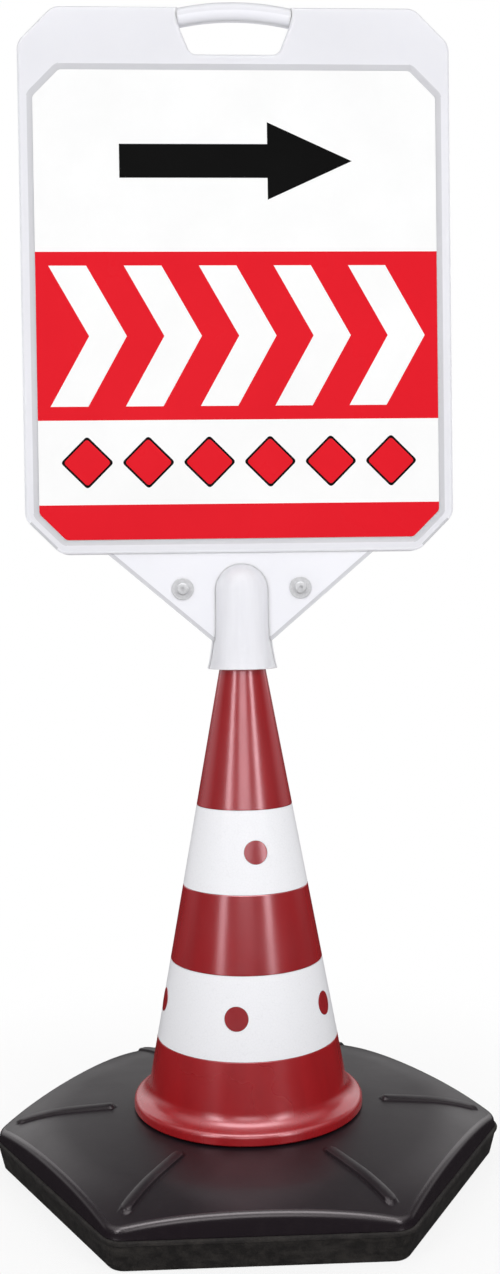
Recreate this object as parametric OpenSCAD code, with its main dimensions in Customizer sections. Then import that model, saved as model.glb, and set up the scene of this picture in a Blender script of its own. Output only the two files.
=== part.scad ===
// Cone sign: a two-sided sign head that swivels on a reflective traffic cone with a ballasted base.
// Millimetres. +Z is up, the origin is on the floor under the cone's axis, the front looks along -Y.

/* [Base] */
// Distance across opposite corners at the floor, measured to the sharp corners
base_across = 510; // [440:5:600]
// Rounding of the upright corners at the floor
base_corner_r = 18; // [14:1:30]
// Height of the lower tray, from floor to seam
tray_h = 30; // [24:1:40]
// How far the tray's sides lean out from floor to seam
tray_lean = 7.5; // [3:0.5:10]
// Thickness of the tray's side walls at the floor
tray_wall = 4; // [3:0.5:6]
// Thickness of the tray's floor
tray_floor = 6; // [5:0.5:8]
// Rounding of the tray's lower and upper edges
tray_edge_r = 1.5; // [0.5:0.5:2]
// Width of the ledge that the tray shows around the cover
seam_ledge = 1.5; // [0.5:0.5:4]
// Height of the dome's crown above the seam
cover_rise = 33.5; // [30:0.5:60]
// Radius of the dome's broad middle
dome_r = 2500; // [1500:50:4000]
// Radius of the roll-off around the dome's middle
roll_r = 220; // [180:5:400]
// Distance from the start of the roll-off to the corner arcs' centres
roll_w = 49; // [30:1:60]
// Thickness of the cover
cover_wall = 4; // [3:0.5:6]
// How far the cover's sides lean in from seam to rim
cover_lean = 1; // [0:0.5:3]
// Rounding between the cover's dome and its sides
rim_r = 8; // [4:0.5:10]
// Depth of the cover's tongue inside the tray
tongue_h = 6; // [3:0.5:8]
// Thickness of the tongue
tongue_t = 2.5; // [2:0.5:4]
// Width of the raised ribs on the dome
rib_w = 13; // [8:1:18]
// Height of the raised ribs
rib_h = 3.5; // [2:0.5:5]
// Gap between the cone's foot and a rib's inner end
rib_inner_gap = 20; // [6:1:30]
// Gap between a rib's outer end and the start of the rim's rounding
rib_outer_gap = 9; // [2:1:30]
// Thickness of the ballast block
ballast_h = 26; // [15:1:28]
// Gap between the ballast and the cover's tongue
ballast_gap = 1.5; // [0.5:0.5:4]

/* [Cone] */
// Height of the tapered cone, from its seat to the shoulder of its neck
cone_h = 459; // [400:0.5:600]
// Radius of the cone at its seat, with the flare left out
trunk_r = 106.2; // [95:0.1:115]
// Wall thickness
cone_wall = 3.6; // [3:0.1:5]
// How far the foot stands out from the cone
foot_lip = 11.8; // [8:0.1:20]
// Rounding of the foot's rim
bead_r = 6; // [4:0.5:8]
// Radius of the hollow flare above the foot
flare_r = 18; // [12:1:30]
// Height of the flat seat above the dome at the foot's rim
seat_step = 1.5; // [1:0.5:4]
// How far the seat stays inside the foot's rim
seat_inset = 1; // [0.5:0.5:4]
// Width of the bolted ledge inside the foot
ledge_w = 28; // [24:1:34]
// Thickness of the bolted ledge
ledge_t = 5; // [4:0.5:8]
// Radius of the neck that carries the sign head
neck_r = 22; // [18:0.5:26]
// Height of the neck above its shoulder
neck_h = 71; // [66:0.5:90]
// Radius of the neck's hollow core
neck_core_r = 15; // [10:0.5:15.5]
// Thickness of the neck's closed top
neck_cap_t = 4; // [3:0.5:6]
// Depth of the retaining groove in the neck
groove_d = 3; // [2:0.5:3.5]
// Width of the retaining groove
groove_w = 9; // [6:0.5:12]
// Distance from the neck's top to the middle of the groove
groove_drop = 16; // [10:1:18]

/* [Reflective sleeves] */
// Lower edge of the upper sleeve's track above the cone's seat
upper_low = 228; // [200:1:240]
// Height of the upper track
upper_h = 82; // [60:1:100]
// Lower edge of the lower sleeve's track above the cone's seat
lower_low = 72; // [60:1:90]
// Height of the lower track
lower_h = 80; // [60:1:100]
// Depth of the tracks
track_d = 1.2; // [0.8:0.1:1.6]
// Thickness of the sleeves
sleeve_t = 1; // [0.6:0.1:1.2]
// Diameter of the bosses that lock the sleeves
boss_d = 23; // [14:1:30]
// How far the bosses stand above the cone's surface
boss_proud = 0.3; // [0:0.1:0.6]
// Number of bosses in the upper track
upper_bosses = 3; // [2:1:6]
// Number of bosses in the lower track
lower_bosses = 5; // [2:1:8]
// Turn of the upper bosses from the front, towards +X
upper_turn = 8.7; // [-60:0.1:60]
// Turn of the lower bosses from the front, towards +X
lower_turn = -9.4; // [-36:0.1:36]

/* [Sign head] */
// Width of the board
board_w = 438; // [380:1:500]
// Height of the board, without the bow of the handle
board_h = 551; // [500:1:640]
// Legs of the board's cut corners
board_cut = 36; // [24:1:50]
// Rounding at the ends of the cut corners
board_corner_r = 16; // [8:1:24]
// Height of the board's lower edge above the cone's shoulder
board_lift = 109.5; // [100:0.5:140]
// Depth of one half shell, from the parting plane to its face
shell_d = 12.5; // [11.5:0.5:20]
// Thickness of the half shells
shell_t = 3; // [2:0.5:3.5]
// Rounding of the board's front edge
shell_edge_r = 3; // [1:0.5:5]
// Pitch of the stiffening ribs inside the half shells
web_pitch = 84; // [60:1:120]
// Thickness of the stiffening ribs
web_t = 2.4; // [1.5:0.1:4]

/* [Print] */
// Width of the recess that holds the print
print_w = 409; // [340:1:415]
// Height of the recess
print_h = 474; // [400:0.5:482]
// Height of the recess above the board's lower edge
print_low = 14; // [8:1:20]
// Legs of the recess's cut corners
print_cut = 27; // [16:1:40]
// Rounding at the ends of those corners
print_corner_r = 6; // [2:1:10]
// Depth of the recess
recess_d = 3; // [2:0.5:4]
// Width of the bevel around the recess
recess_bevel = 5.5; // [2:0.5:6]
// Thickness of the printed sheet
sheet_t = 1; // [0.5:0.1:1.5]

/* [Handle] */
// Span of the bowed grip
grip_span = 124; // [100:1:150]
// Rise of the bow above the board's upper edge
grip_rise = 7; // [4:0.5:12]
// Height of the grip
grip_h = 16; // [15:0.5:22]
// Depth of one half of the grip
grip_d = 11; // [8:0.5:12.5]
// Rounding of the grip
grip_r = 7.5; // [4:0.5:7.5]
// Width of the hand opening at its top
hand_top_w = 114; // [90:1:116]
// Width of the hand opening at its bottom
hand_low_w = 89; // [70:1:100]
// Depth of the opening's lower edge below the board's upper edge
hand_low = 47; // [42:1:52]
// Rounding of the opening's corners
hand_r = 9; // [4:0.5:10]
// Rounding of the opening's rim on the board's face
hand_rim_r = 5; // [2:0.5:6]

/* [Clamp socket] */
// Wall of the socket around the neck
socket_wall = 5.7; // [4:0.1:8]
// Thickness of the socket's round top at its middle
socket_cap = 10; // [8:0.5:14]
// How far the skirt reaches below the cone's shoulder
skirt_drop = 9.5; // [5:0.5:24]
// Height of the flared skirt
skirt_h = 55; // [40:1:62]
// How far the skirt flares out
skirt_flare = 6.5; // [5:0.5:12]
// Wall of the skirt at its mouth
skirt_wall = 3.5; // [2.5:0.5:5]
// Width of the flange along the socket's parting line
flange_w = 1.6; // [1:0.1:6]
// Thickness of that flange in each half
flange_t = 4; // [3:0.5:6]
// Width of the gusset where it leaves the board
gusset_top_w = 273; // [220:1:320]
// Width of the gusset at its lower end
gusset_low_w = 62; // [56:1:70]
// Height of the gusset's lower end above the cone's shoulder
gusset_low = 19.5; // [12:0.5:26]
// Depth of one gusset half
gusset_d = 9; // [7:0.5:11]
// Width of the raised border along the gusset's slanted edges
gusset_border = 4; // [2:0.5:8]
// Height of that border
gusset_border_h = 1.2; // [0.5:0.1:2]

/* [Fasteners] */
// Diameter of the clamp bolts
clamp_d = 6; // [5:1:8]
// Distance of the clamp bolts from the cone's axis
clamp_x = 60.3; // [50:0.1:70]
// Height of the clamp bolts above the cone's shoulder
clamp_z = 72.9; // [60:0.1:80]
// Diameter of the clamp washers
clamp_washer_d = 22.5; // [16:0.5:26]
// Diameter of the anchor bolts in the foot
anchor_d = 8; // [6:1:10]
// Number of anchor bolts
anchor_count = 3; // [3:1:6]
// Distance from the inner edge of the cone's ledge to the anchor bolts
anchor_inset = 10; // [9:1:14]
// Diameter of the cover screws
screw_d = 5; // [4:0.5:6]
// Depth of the cover screws in their bosses
screw_grip = 17; // [10:1:18]
// Thickness of the low heads beneath the base
head_t = 3; // [2:0.5:3.5]
// Distance of the cover screws inside the corner arcs' centres
screw_inset = 12; // [8:1:20]

/* [Clearances] */
// Running gap between the neck and the socket
neck_gap = 0.3; // [0.2:0.05:0.5]
// Gap around the sleeves in their tracks
sleeve_gap = 0.15; // [0.1:0.05:0.2]
// Gap around the bosses in the sleeves' holes
boss_gap = 0.4; // [0.2:0.1:0.8]
// Gap between moulded parts that fit inside each other
mould_gap = 0.3; // [0.2:0.05:0.5]
// Gap around bolts in their holes
bolt_gap = 0.4; // [0.2:0.1:0.6]
// Gap around screws and pegs that bite
bite_gap = 0.05; // [0.02:0.01:0.1]

/* [Hidden] */
$fn = 96;
// Segments of a disc that goes into a hull
hull_fn = 32;
// Thickness of a layer that only shapes a hull
skin = 0.01;
// Reach of a cut past the face that it opens
past = 1;

// Base
corner_c = base_across / 2 - base_corner_r / cos(30);
seam_r = base_corner_r + tray_lean;
cover_r = seam_r - seam_ledge;
cover_in_r = cover_r - cover_lean - cover_wall;
tray_in_r = base_corner_r - tray_wall;
tongue_r = tray_in_r - mould_gap;
tongue_in_r = tongue_r - tongue_t;
crown_z = tray_h + cover_rise;
dome_cz = crown_z - dome_r;
roll_start = corner_c - roll_w;
roll_c = [roll_start * (1 - roll_r / dome_r),
          dome_cz + (dome_r - roll_r) * sqrt(1 - pow(roll_start / dome_r, 2))];
ballast_top = tray_floor + ballast_h;
screw_c = corner_c - screw_inset;
head_sink = 0.5;
head_bore = head_t + head_sink;
anchor_turn = 30;

// Cone
foot_r = trunk_r + foot_lip;
slope = (trunk_r - neck_r) / cone_h;
tilt = atan(slope);
wall_r = cone_wall / cos(tilt);
seat_z = dome_z(foot_r) + seat_step;
shoulder_z = seat_z + cone_h;
neck_top = shoulder_z + neck_h;
groove_z = neck_top - groove_drop;
ledge_in_r = trunk_r - ledge_w;
anchor_c = ledge_in_r + anchor_inset;
bead_c = [foot_r - bead_r, bead_r];
flare_c = flare_centre();

// Sign head
board_z0 = shoulder_z + board_lift;
board_z1 = board_z0 + board_h;
print_z0 = board_z0 + print_low;
print_z1 = print_z0 + print_h;
face_in = shell_d - recess_d - shell_t;
socket_r = neck_r + neck_gap + socket_wall;
skirt_z = shoulder_z - skirt_drop;
skirt_arc_r = (skirt_h * skirt_h + skirt_flare * skirt_flare) / (2 * skirt_flare);
bow_r = (grip_span * grip_span / 4 + grip_rise * grip_rise) / (2 * grip_rise);
bow_cz = board_z1 + grip_rise - bow_r;
clamp_hz = shoulder_z + clamp_z;
clamp_face = gusset_d - gusset_border_h;

// Pegs that line up the half shells, placed in pitches of the stiffening ribs
peg_d = 5;
peg_boss_d = 11;
peg_l = 5;
peg_columns = [-1.5, 1.5];
peg_rows = [-2, 0, 2];

// Standard proportions of the fasteners
washer_t = 1.5;
clamp_head_d = 2 * clamp_d;
clamp_head_h = 0.65 * clamp_d;
clamp_key_d = 0.75 * clamp_d;
nut_h_ratio = 0.8;
nut_af_ratio = 1.65;
anchor_head_d = 2 * anchor_d;
anchor_post_d = 2.4 * anchor_d;
screw_head_d = 2 * screw_d;
screw_boss_d = 2.8 * screw_d;
tail = 3;

// Height over the floor, at radius r, of the dome's surface moved in by drop
function dome_z(r, drop = 0) =
    r < roll_start * (1 - drop / dome_r)
    ? dome_cz + sqrt(pow(dome_r - drop, 2) - r * r)
    : roll_c[1] + sqrt(pow(roll_r - drop, 2) - pow(r - roll_c[0], 2));

// Radius of the cone's plain wall at height h over its seat
function trunk_at(h) = trunk_r - slope * h;

// Centre of the hollow flare: it touches the cone's wall and the rounded rim of the foot
function flare_centre() =
    let (a = trunk_r + flare_r / cos(tilt) - bead_c[0],
         b = a * slope + bead_c[1],
         c = a * a + bead_c[1] * bead_c[1] - pow(flare_r + bead_r, 2),
         q = 1 + slope * slope,
         h = (b + sqrt(b * b - q * c)) / q)
    [trunk_at(h) + flare_r / cos(tilt), h];

// Corners of a cut-cornered rectangle between heights z0 and z1
function cut_rect(w, z0, z1, cut) = [
    [-w / 2 + cut, z0], [w / 2 - cut, z0], [w / 2, z0 + cut], [w / 2, z1 - cut],
    [w / 2 - cut, z1], [-w / 2 + cut, z1], [-w / 2, z1 - cut], [-w / 2, z0 + cut]];

// Leg of a cut corner after the outline has moved in by d
function cut_inset(cut, d) = cut - d * (2 - sqrt(2));

function unit(v) = v / norm(v);

// A convex outline, counterclockwise, with every corner rounded by r
module rounded(points, r) {
    n = len(points);
    arms = [for (i = [0:n - 1])
        [unit(points[(i + n - 1) % n] - points[i]), unit(points[(i + 1) % n] - points[i])]];
    half = [for (a = arms) acos(a[0] * a[1]) / 2];
    polygon([for (i = [0:n - 1], s = [0, 1]) points[i] + arms[i][s] * r / tan(half[i])]);
    for (i = [0:n - 1])
        translate(points[i] + unit(arms[i][0] + arms[i][1]) * r / sin(half[i])) circle(r);
}

// The base's hexagon: corner arcs of radius r about fixed centres
module hexagon(r) {
    rounded([for (i = [0:5]) (corner_c + r / cos(30)) * [cos(60 * i), sin(60 * i)]], r);
}

module hex_prism(r, z0, z1) {
    translate([0, 0, z0]) linear_extrude(z1 - z0) hexagon(r);
}

// One thin layer of the hexagon, for a hull
module hex_layer(r, z) {
    for (i = [0:5])
        rotate(60 * i) translate([corner_c, 0, z]) cylinder(r = r, h = skin, $fn = hull_fn);
}

// Children on each corner axis of the base, at distance c from the middle
module at_corners(c) {
    for (i = [0:5]) rotate(60 * i) translate([c, 0, 0]) children();
}

module at_anchors() {
    for (i = [0:anchor_count - 1])
        rotate(anchor_turn + 360 / anchor_count * i) translate([anchor_c, 0, 0]) children();
}

// The space under the dome's surface moved in by drop, as a turned solid that stands on the floor
module under_dome(drop) {
    steps = 16;
    reach = corner_c + seam_r;
    rotate_extrude() polygon([[0, 0], [reach, 0],
        for (k = [steps:-1:0]) let (r = reach * k / steps) [r, dome_z(r, drop)]]);
}

// A hole of diameter d with a wider bore for a low head, opened from the floor
module headed_hole(d, head_d, depth) {
    translate([0, 0, -past]) cylinder(d = d + 2 * bolt_gap, h = depth + past);
    translate([0, 0, -past]) cylinder(d = head_d + 4 * bolt_gap, h = head_bore + past);
}

// A low-headed bolt or screw that stands on its head, with its head sunk in the floor
module low_head_bolt(d, head_d, top) {
    translate([0, 0, head_bore - head_t]) cylinder(d = head_d, h = head_t);
    translate([0, 0, head_bore]) cylinder(d = d, h = top - head_bore);
}

module hex_nut(d) {
    difference() {
        cylinder(d = nut_af_ratio * d / cos(30), h = nut_h_ratio * d, $fn = 6);
        translate([0, 0, -past]) cylinder(d = d + 2 * bite_gap, h = nut_h_ratio * d + 2 * past);
    }
}

module washer(d, hole_d) {
    difference() {
        cylinder(d = d, h = washer_t);
        translate([0, 0, -past]) cylinder(d = hole_d + 2 * bite_gap, h = washer_t + 2 * past);
    }
}

// Base pieces

module base_tray() {
    color([0.13, 0.11, 0.10]) difference() {
        hull() {
            hex_layer(base_corner_r - tray_edge_r, 0);
            hex_layer(base_corner_r, tray_edge_r);
            hex_layer(seam_r, tray_h - tray_edge_r);
            hex_layer(seam_r - tray_edge_r, tray_h - skin);
        }
        hex_prism(tray_in_r, tray_floor, tray_h + past);
        at_corners(screw_c) headed_hole(screw_d, screw_head_d, tray_floor + past);
        at_anchors() headed_hole(anchor_d, anchor_head_d, tray_floor + past);
    }
}

// Balls that round the cover's rim: they follow the hexagon and touch the dome from below
module rim_balls() {
    ball_r = cover_r - cover_lean - rim_r;
    turns = [-30, -15, 0, 15, 30];
    side = [for (t = turns) [corner_c + ball_r * cos(t), ball_r * sin(t)]];
    half_side = corner_c / 2;
    spans = [for (f = [-0.75:0.25:0.75]) [corner_c * cos(30) + ball_r, half_side * f]];
    for (i = [0:5]) {
        for (p = side) rotate(60 * i) rim_ball(p);
        for (p = spans) rotate(60 * i + 30) rim_ball(p);
    }
}

module rim_ball(p) {
    translate([p[0], p[1], dome_z(norm(p), rim_r)]) sphere(rim_r, $fn = 24);
}

module dome_rib() {
    r0 = foot_r + rib_inner_gap + rib_w / 2;
    r1 = corner_c + cover_r - cover_lean - rim_r - rib_outer_gap - rib_w / 2;
    intersection() {
        translate([0, 0, tray_h]) linear_extrude(cover_rise + rib_h) union() {
            translate([r0, -rib_w / 2]) square([r1 - r0, rib_w]);
            translate([r0, 0]) circle(d = rib_w);
            translate([r1, 0]) circle(d = rib_w);
        }
        difference() {
            under_dome(-rib_h);
            under_dome(cover_wall / 2);
        }
    }
}

// The cover's outside before it is cut off at the seam: leaning sides, rounded rim and dome
module cover_form() {
    rings = 6;
    ring_end = corner_c * cos(30) + cover_r - cover_lean - rim_r;
    hull() {
        hex_layer(cover_r, tray_h);
        rim_balls();
        for (k = [0:rings])
            let (r = foot_r + (ring_end - foot_r) * k / rings)
            translate([0, 0, dome_z(r) - skin]) cylinder(r = r, h = skin, $fn = 72);
    }
}

module base_cover() {
    shelf_z = tray_h + tongue_t;
    color([0.04, 0.04, 0.045]) difference() {
        union() {
            difference() {
                union() {
                    intersection() {
                        cover_form();
                        hex_prism(seam_r, tray_h, crown_z);
                    }
                    translate([0, 0, seat_z - cover_wall])
                        cylinder(r = foot_r - seat_inset, h = cover_wall);
                    at_corners(0) dome_rib();
                }
                intersection() {
                    hex_prism(cover_in_r, tray_h - past, crown_z);
                    under_dome(cover_wall);
                }
            }
            difference() {
                union() {
                    hex_prism(cover_r - cover_lean, tray_h, shelf_z);
                    hex_prism(tongue_r, tray_h - tongue_h, shelf_z);
                }
                hex_prism(tongue_in_r, tray_h - tongue_h - past, shelf_z + past);
            }
            intersection() {
                at_corners(screw_c) translate([0, 0, tray_floor])
                    cylinder(d = screw_boss_d, h = crown_z);
                under_dome(cover_wall / 2);
            }
            intersection() {
                at_anchors() translate([0, 0, ballast_top])
                    cylinder(d = anchor_post_d, h = crown_z);
                under_dome(cover_wall / 2);
            }
        }
        at_corners(screw_c) translate([0, 0, tray_floor - past])
            cylinder(d = screw_d + 2 * bite_gap, h = screw_grip + past + tail);
        at_anchors() translate([0, 0, ballast_top - past])
            cylinder(d = anchor_d + 2 * bolt_gap, h = seat_z - ballast_top + 2 * past);
    }
}

module ballast_block() {
    color([0.55, 0.54, 0.52]) difference() {
        hex_prism(tongue_in_r - ballast_gap, tray_floor, ballast_top);
        at_corners(screw_c) translate([0, 0, tray_floor - past])
            cylinder(d = screw_boss_d + 4 * bolt_gap, h = ballast_h + 2 * past);
        at_anchors() translate([0, 0, tray_floor - past])
            cylinder(d = anchor_d + 2 * bolt_gap, h = ballast_h + 2 * past);
    }
}

module cover_screws() {
    color([0.55, 0.55, 0.57]) at_corners(screw_c)
        low_head_bolt(screw_d, screw_head_d, tray_floor + screw_grip);
}

module anchor_bolts() {
    color([0.6, 0.6, 0.62]) at_anchors()
        low_head_bolt(anchor_d, anchor_head_d, seat_z + ledge_t + washer_t + nut_h_ratio * anchor_d + tail);
}

module anchor_washers() {
    color([0.7, 0.7, 0.72]) at_anchors()
        translate([0, 0, seat_z + ledge_t]) washer(2 * anchor_d, anchor_d);
}

module anchor_nuts() {
    color([0.6, 0.6, 0.62]) at_anchors()
        translate([0, 0, seat_z + ledge_t + washer_t]) hex_nut(anchor_d);
}

// Cone pieces, drawn over the cone's seat

// Half section of the cone's outside: plain taper, neck, rounded foot and hollow flare between them
module cone_outside() {
    edge = 1;
    neck_end = cone_h + neck_h;
    touch = flare_c - flare_r * [cos(tilt), sin(tilt)];
    polygon([[0, 0], [trunk_r, 0], [neck_r, cone_h], [neck_r, neck_end - edge],
             [neck_r - edge, neck_end], [0, neck_end]]);
    polygon([[ledge_in_r, 0], [foot_r - edge, 0], [foot_r, edge], [foot_r, bead_r], bead_c,
             [ledge_in_r, bead_r]]);
    translate(bead_c) circle(bead_r);
    difference() {
        polygon([[ledge_in_r, 0], [bead_c[0], 0], bead_c, flare_c, touch, [ledge_in_r, touch[1]]]);
        translate(flare_c) circle(flare_r);
    }
}

module cone_inside() {
    core_z = (trunk_r - wall_r - neck_core_r) / slope;
    neck_end = cone_h + neck_h - neck_cap_t;
    polygon([[0, -past], [ledge_in_r, -past], [ledge_in_r, ledge_t], [trunk_at(ledge_t) - wall_r, ledge_t],
             [neck_core_r, core_z], [neck_core_r, neck_end], [0, neck_end]]);
}

// Half section of a band along the cone's wall, between two depths under its surface
module wall_band(low, high, deep, shallow) {
    d = deep / cos(tilt);
    s = shallow / cos(tilt);
    polygon([[trunk_at(low) - d, low], [trunk_at(low) - s, low],
             [trunk_at(high) - s, high], [trunk_at(high) - d, high]]);
}

// A disc square to the cone's wall in the middle of a track, repeated round the cone
module track_discs(low, h, count, turn, d, deep, shallow) {
    mid = low + h / 2;
    for (i = [0:count - 1])
        rotate(turn - 90 + 360 / count * i) translate([trunk_at(mid), 0, mid]) rotate([0, 90 - tilt, 0])
            translate([0, 0, -deep]) cylinder(d = d, h = deep - shallow);
}

module track_bosses(low, h, count, turn) {
    root = track_d + cone_wall / 4;
    intersection() {
        track_discs(low, h, count, turn, boss_d, root, -2 * track_d);
        rotate_extrude() wall_band(low, low + h, cone_wall, -boss_proud);
    }
}

module cone_shell() {
    color([0.68, 0.03, 0.03]) translate([0, 0, seat_z]) difference() {
        union() {
            rotate_extrude() difference() {
                cone_outside();
                cone_inside();
                wall_band(upper_low, upper_low + upper_h, track_d, -track_d);
                wall_band(lower_low, lower_low + lower_h, track_d, -track_d);
                translate([neck_r - groove_d, groove_z - seat_z - groove_w / 2])
                    square([groove_d + past, groove_w]);
            }
            track_bosses(upper_low, upper_h, upper_bosses, upper_turn);
            track_bosses(lower_low, lower_h, lower_bosses, lower_turn);
        }
        at_anchors() translate([0, 0, -past]) cylinder(d = anchor_d + 2 * bolt_gap, h = ledge_t + 2 * past);
    }
}

module sleeve(low, h, count, turn) {
    back = track_d - sleeve_gap;
    color([0.93, 0.94, 0.96]) translate([0, 0, seat_z]) difference() {
        rotate_extrude()
            wall_band(low + sleeve_gap, low + h - sleeve_gap, back, back - sleeve_t);
        track_discs(low, h, count, turn, boss_d + 2 * boss_gap, 2 * track_d, -2 * track_d);
    }
}

module upper_sleeve() {
    sleeve(upper_low, upper_h, upper_bosses, upper_turn);
}

module lower_sleeve() {
    sleeve(lower_low, lower_h, lower_bosses, lower_turn);
}

// Sign head pieces: outlines lie in the XZ plane and are extruded towards the front

// Extrudes an outline from depth d0 to depth d1 in front of the parting plane
module forward(d0, d1) {
    translate([0, -d0, 0]) rotate([90, 0, 0]) linear_extrude(d1 - d0) children();
}

module board_outline(inset) {
    rounded(cut_rect(board_w - 2 * inset, board_z0 + inset, board_z1 - inset, cut_inset(board_cut, inset)),
            board_corner_r - inset);
}

module print_outline(grow) {
    rounded(cut_rect(print_w + 2 * grow, print_z0 - grow, print_z1 + grow, cut_inset(print_cut, -grow)),
            print_corner_r + grow);
}

module gusset_outline(inset) {
    low = shoulder_z + gusset_low;
    high = board_z0 + inset;
    low_x = gusset_low_w / 2 - inset;
    high_x = gusset_top_w / 2 - inset;
    polygon([[-low_x, low], [low_x, low], [high_x, high], [high_x, high + shell_edge_r],
             [-high_x, high + shell_edge_r], [-high_x, high]]);
}

// Half section of the socket, grown sideways by grow: flared skirt, straight tube and round top
module socket_section(grow) {
    r = socket_r + grow;
    skirt_top = skirt_z + skirt_h;
    difference() {
        translate([0, skirt_z]) square([r + skirt_flare, skirt_h]);
        translate([socket_r + skirt_arc_r, skirt_top]) circle(skirt_arc_r - grow);
    }
    translate([0, skirt_top]) square([r, neck_top - skirt_top]);
    intersection() {
        translate([0, neck_top]) circle(r);
        translate([0, neck_top]) square(r);
    }
}

// The hand opening moved out by grow: narrower at the bottom, open at the top where the grip crosses it
module hand_outline(grow) {
    low = board_z1 - hand_low;
    high = board_z1 - grip_h;
    top = board_z1 + hand_r + grow + past;
    low_x = hand_low_w / 2;
    high_x = hand_top_w / 2;
    lean = atan((high_x - low_x) / (high - low));
    grow_x = low_x - grow * tan(lean) + grow / cos(lean);
    side_x = high_x + grow;
    rounded([[-grow_x, low - grow], [grow_x, low - grow], [side_x, high], [side_x, top],
             [-side_x, top], [-side_x, high]], hand_r + grow);
}

// Cut for the hand opening, flared where its rim is rounded
module hand_cut() {
    turns = [0, 30, 60, 90];
    forward(-past, shell_d) hand_outline(0);
    for (i = [0:len(turns) - 2]) hull() for (a = [turns[i], turns[i + 1]])
        let (d = shell_d - hand_rim_r * (1 - sin(a)))
        forward(d - skin, d + skin) hand_outline(hand_rim_r * (1 - cos(a)), $fn = hull_fn);
}

// Front half of the bowed grip, swept along its arc
module grip_half() {
    sweep = 2 * asin(grip_span / 2 / bow_r);
    translate([0, 0, bow_cz]) rotate([90, 0, 0]) rotate(90 - sweep / 2)
        rotate_extrude(angle = sweep, $fn = 360)
        translate([bow_r - grip_h, 0]) intersection() {
            square([grip_h, grip_d]);
            union() {
                square([grip_h, grip_d - grip_r]);
                translate([grip_r, 0]) square([grip_h - 2 * grip_r, grip_d]);
                for (x = [grip_r, grip_h - grip_r]) translate([x, grip_d - grip_r]) circle(grip_r);
            }
        }
}

// Places of the pegs that line up the two half shells, on crossings of the stiffening ribs
module at_pegs() {
    mid = (print_z0 + print_z1) / 2;
    for (x = peg_columns, z = peg_rows)
        translate([x * web_pitch, 0, mid + z * web_pitch]) rotate([90, 0, 0]) children();
}

module at_clamps() {
    for (x = [-clamp_x, clamp_x]) translate([x, 0, clamp_hz]) rotate([90, 0, 0]) children();
}

// Stiffening ribs and peg bosses that stay inside the hollow behind the print
module webs() {
    mid = (print_z0 + print_z1) / 2;
    columns = floor(board_w / 2 / web_pitch - 0.5);
    rows = floor(board_h / 2 / web_pitch);
    for (i = [-columns - 1:columns])
        forward(-past, shell_d) translate([(i + 0.5) * web_pitch - web_t / 2, board_z0])
            square([web_t, board_h]);
    for (i = [-rows:rows])
        forward(-past, shell_d) translate([-board_w / 2, mid + i * web_pitch - web_t / 2])
            square([board_w, web_t]);
    at_pegs() translate([0, 0, -past]) cylinder(d = peg_boss_d, h = shell_d);
}

// Everything hollowed out of one half shell behind its face
module shell_hollow() {
    bar_side = grip_span / 2 + grip_h / 2;
    difference() {
        intersection() {
            forward(-past, face_in) board_outline(shell_t);
            forward(-past, face_in) translate([-board_w / 2, 0])
                square([board_w, print_z1 + recess_bevel]);
        }
        webs();
    }
    intersection() {
        forward(-past, shell_d - shell_t) board_outline(shell_t + shell_edge_r);
        for (s = [0, 1]) mirror([s, 0, 0])
            forward(-past, shell_d) translate([bar_side, print_z1 + recess_bevel + shell_t])
                square([board_w, board_h]);
    }
    difference() {
        forward(-past, gusset_d - gusset_border_h - shell_t) gusset_outline(gusset_border + shell_t);
        forward(-2 * past, gusset_d) translate([0, skirt_z]) union() {
            translate([-gusset_low_w / 2, 0]) square([gusset_low_w, board_h]);
            translate([-board_w / 2, board_z0 - skirt_z - shell_t]) square([board_w, board_h]);
        }
        at_clamps() translate([0, 0, -2 * past]) cylinder(d = clamp_washer_d, h = shell_d);
    }
}

// Space for the neck: a bore with a bead that runs in the neck's groove, the mouth of the skirt and the
// hollow of the round top, inside the ring that rests on the neck
module neck_space() {
    bore_r = neck_r + neck_gap;
    mouth_r = socket_r + skirt_flare - skirt_wall;
    bead_h = groove_w - 2 * neck_gap;
    mouth_z = skirt_z + skirt_h;
    difference() {
        translate([0, 0, skirt_z - past]) cylinder(r = bore_r, h = neck_top - skirt_z + past);
        translate([0, 0, groove_z - bead_h / 2]) difference() {
            cylinder(r = bore_r + past, h = bead_h);
            translate([0, 0, -past]) cylinder(r = bore_r - groove_d, h = bead_h + 2 * past);
        }
    }
    translate([0, 0, skirt_z]) cylinder(r1 = mouth_r, r2 = bore_r, h = mouth_z - skirt_z);
    translate([0, 0, skirt_z - past]) cylinder(r = mouth_r, h = past);
    translate([0, 0, neck_top - past]) cylinder(r = neck_core_r, h = socket_r - socket_cap + past);
}

// One half of the sign head; turned about the axis, the same moulding is the rear half
module half_shell() {
    difference() {
        union() {
            difference() {
                hull() {
                    forward(0, shell_d - shell_edge_r) board_outline(0, $fn = hull_fn);
                    for (a = [30, 60, 90])
                        let (d = shell_d - shell_edge_r * (1 - sin(a)))
                        forward(d - skin, d) board_outline(shell_edge_r * (1 - cos(a)), $fn = hull_fn);
                }
                hand_cut();
            }
            grip_half();
            forward(0, gusset_d) gusset_outline(0);
            forward(0, flange_t) union() {
                socket_section(flange_w);
                mirror([1, 0]) socket_section(flange_w);
            }
            intersection() {
                rotate_extrude() socket_section(0);
                forward(0, board_w) translate([-board_w / 2, 0]) square([board_w, board_z1]);
            }
        }
        hull() {
            forward(shell_d - recess_d, shell_d - recess_d + skin) print_outline(0, $fn = hull_fn);
            forward(shell_d, shell_d + past) print_outline(recess_bevel, $fn = hull_fn);
        }
        gusset_panel();
        shell_hollow();
        neck_space();
        at_clamps() translate([0, 0, -past]) cylinder(d = clamp_d + 2 * bolt_gap, h = shell_d + past);
    }
}

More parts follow.
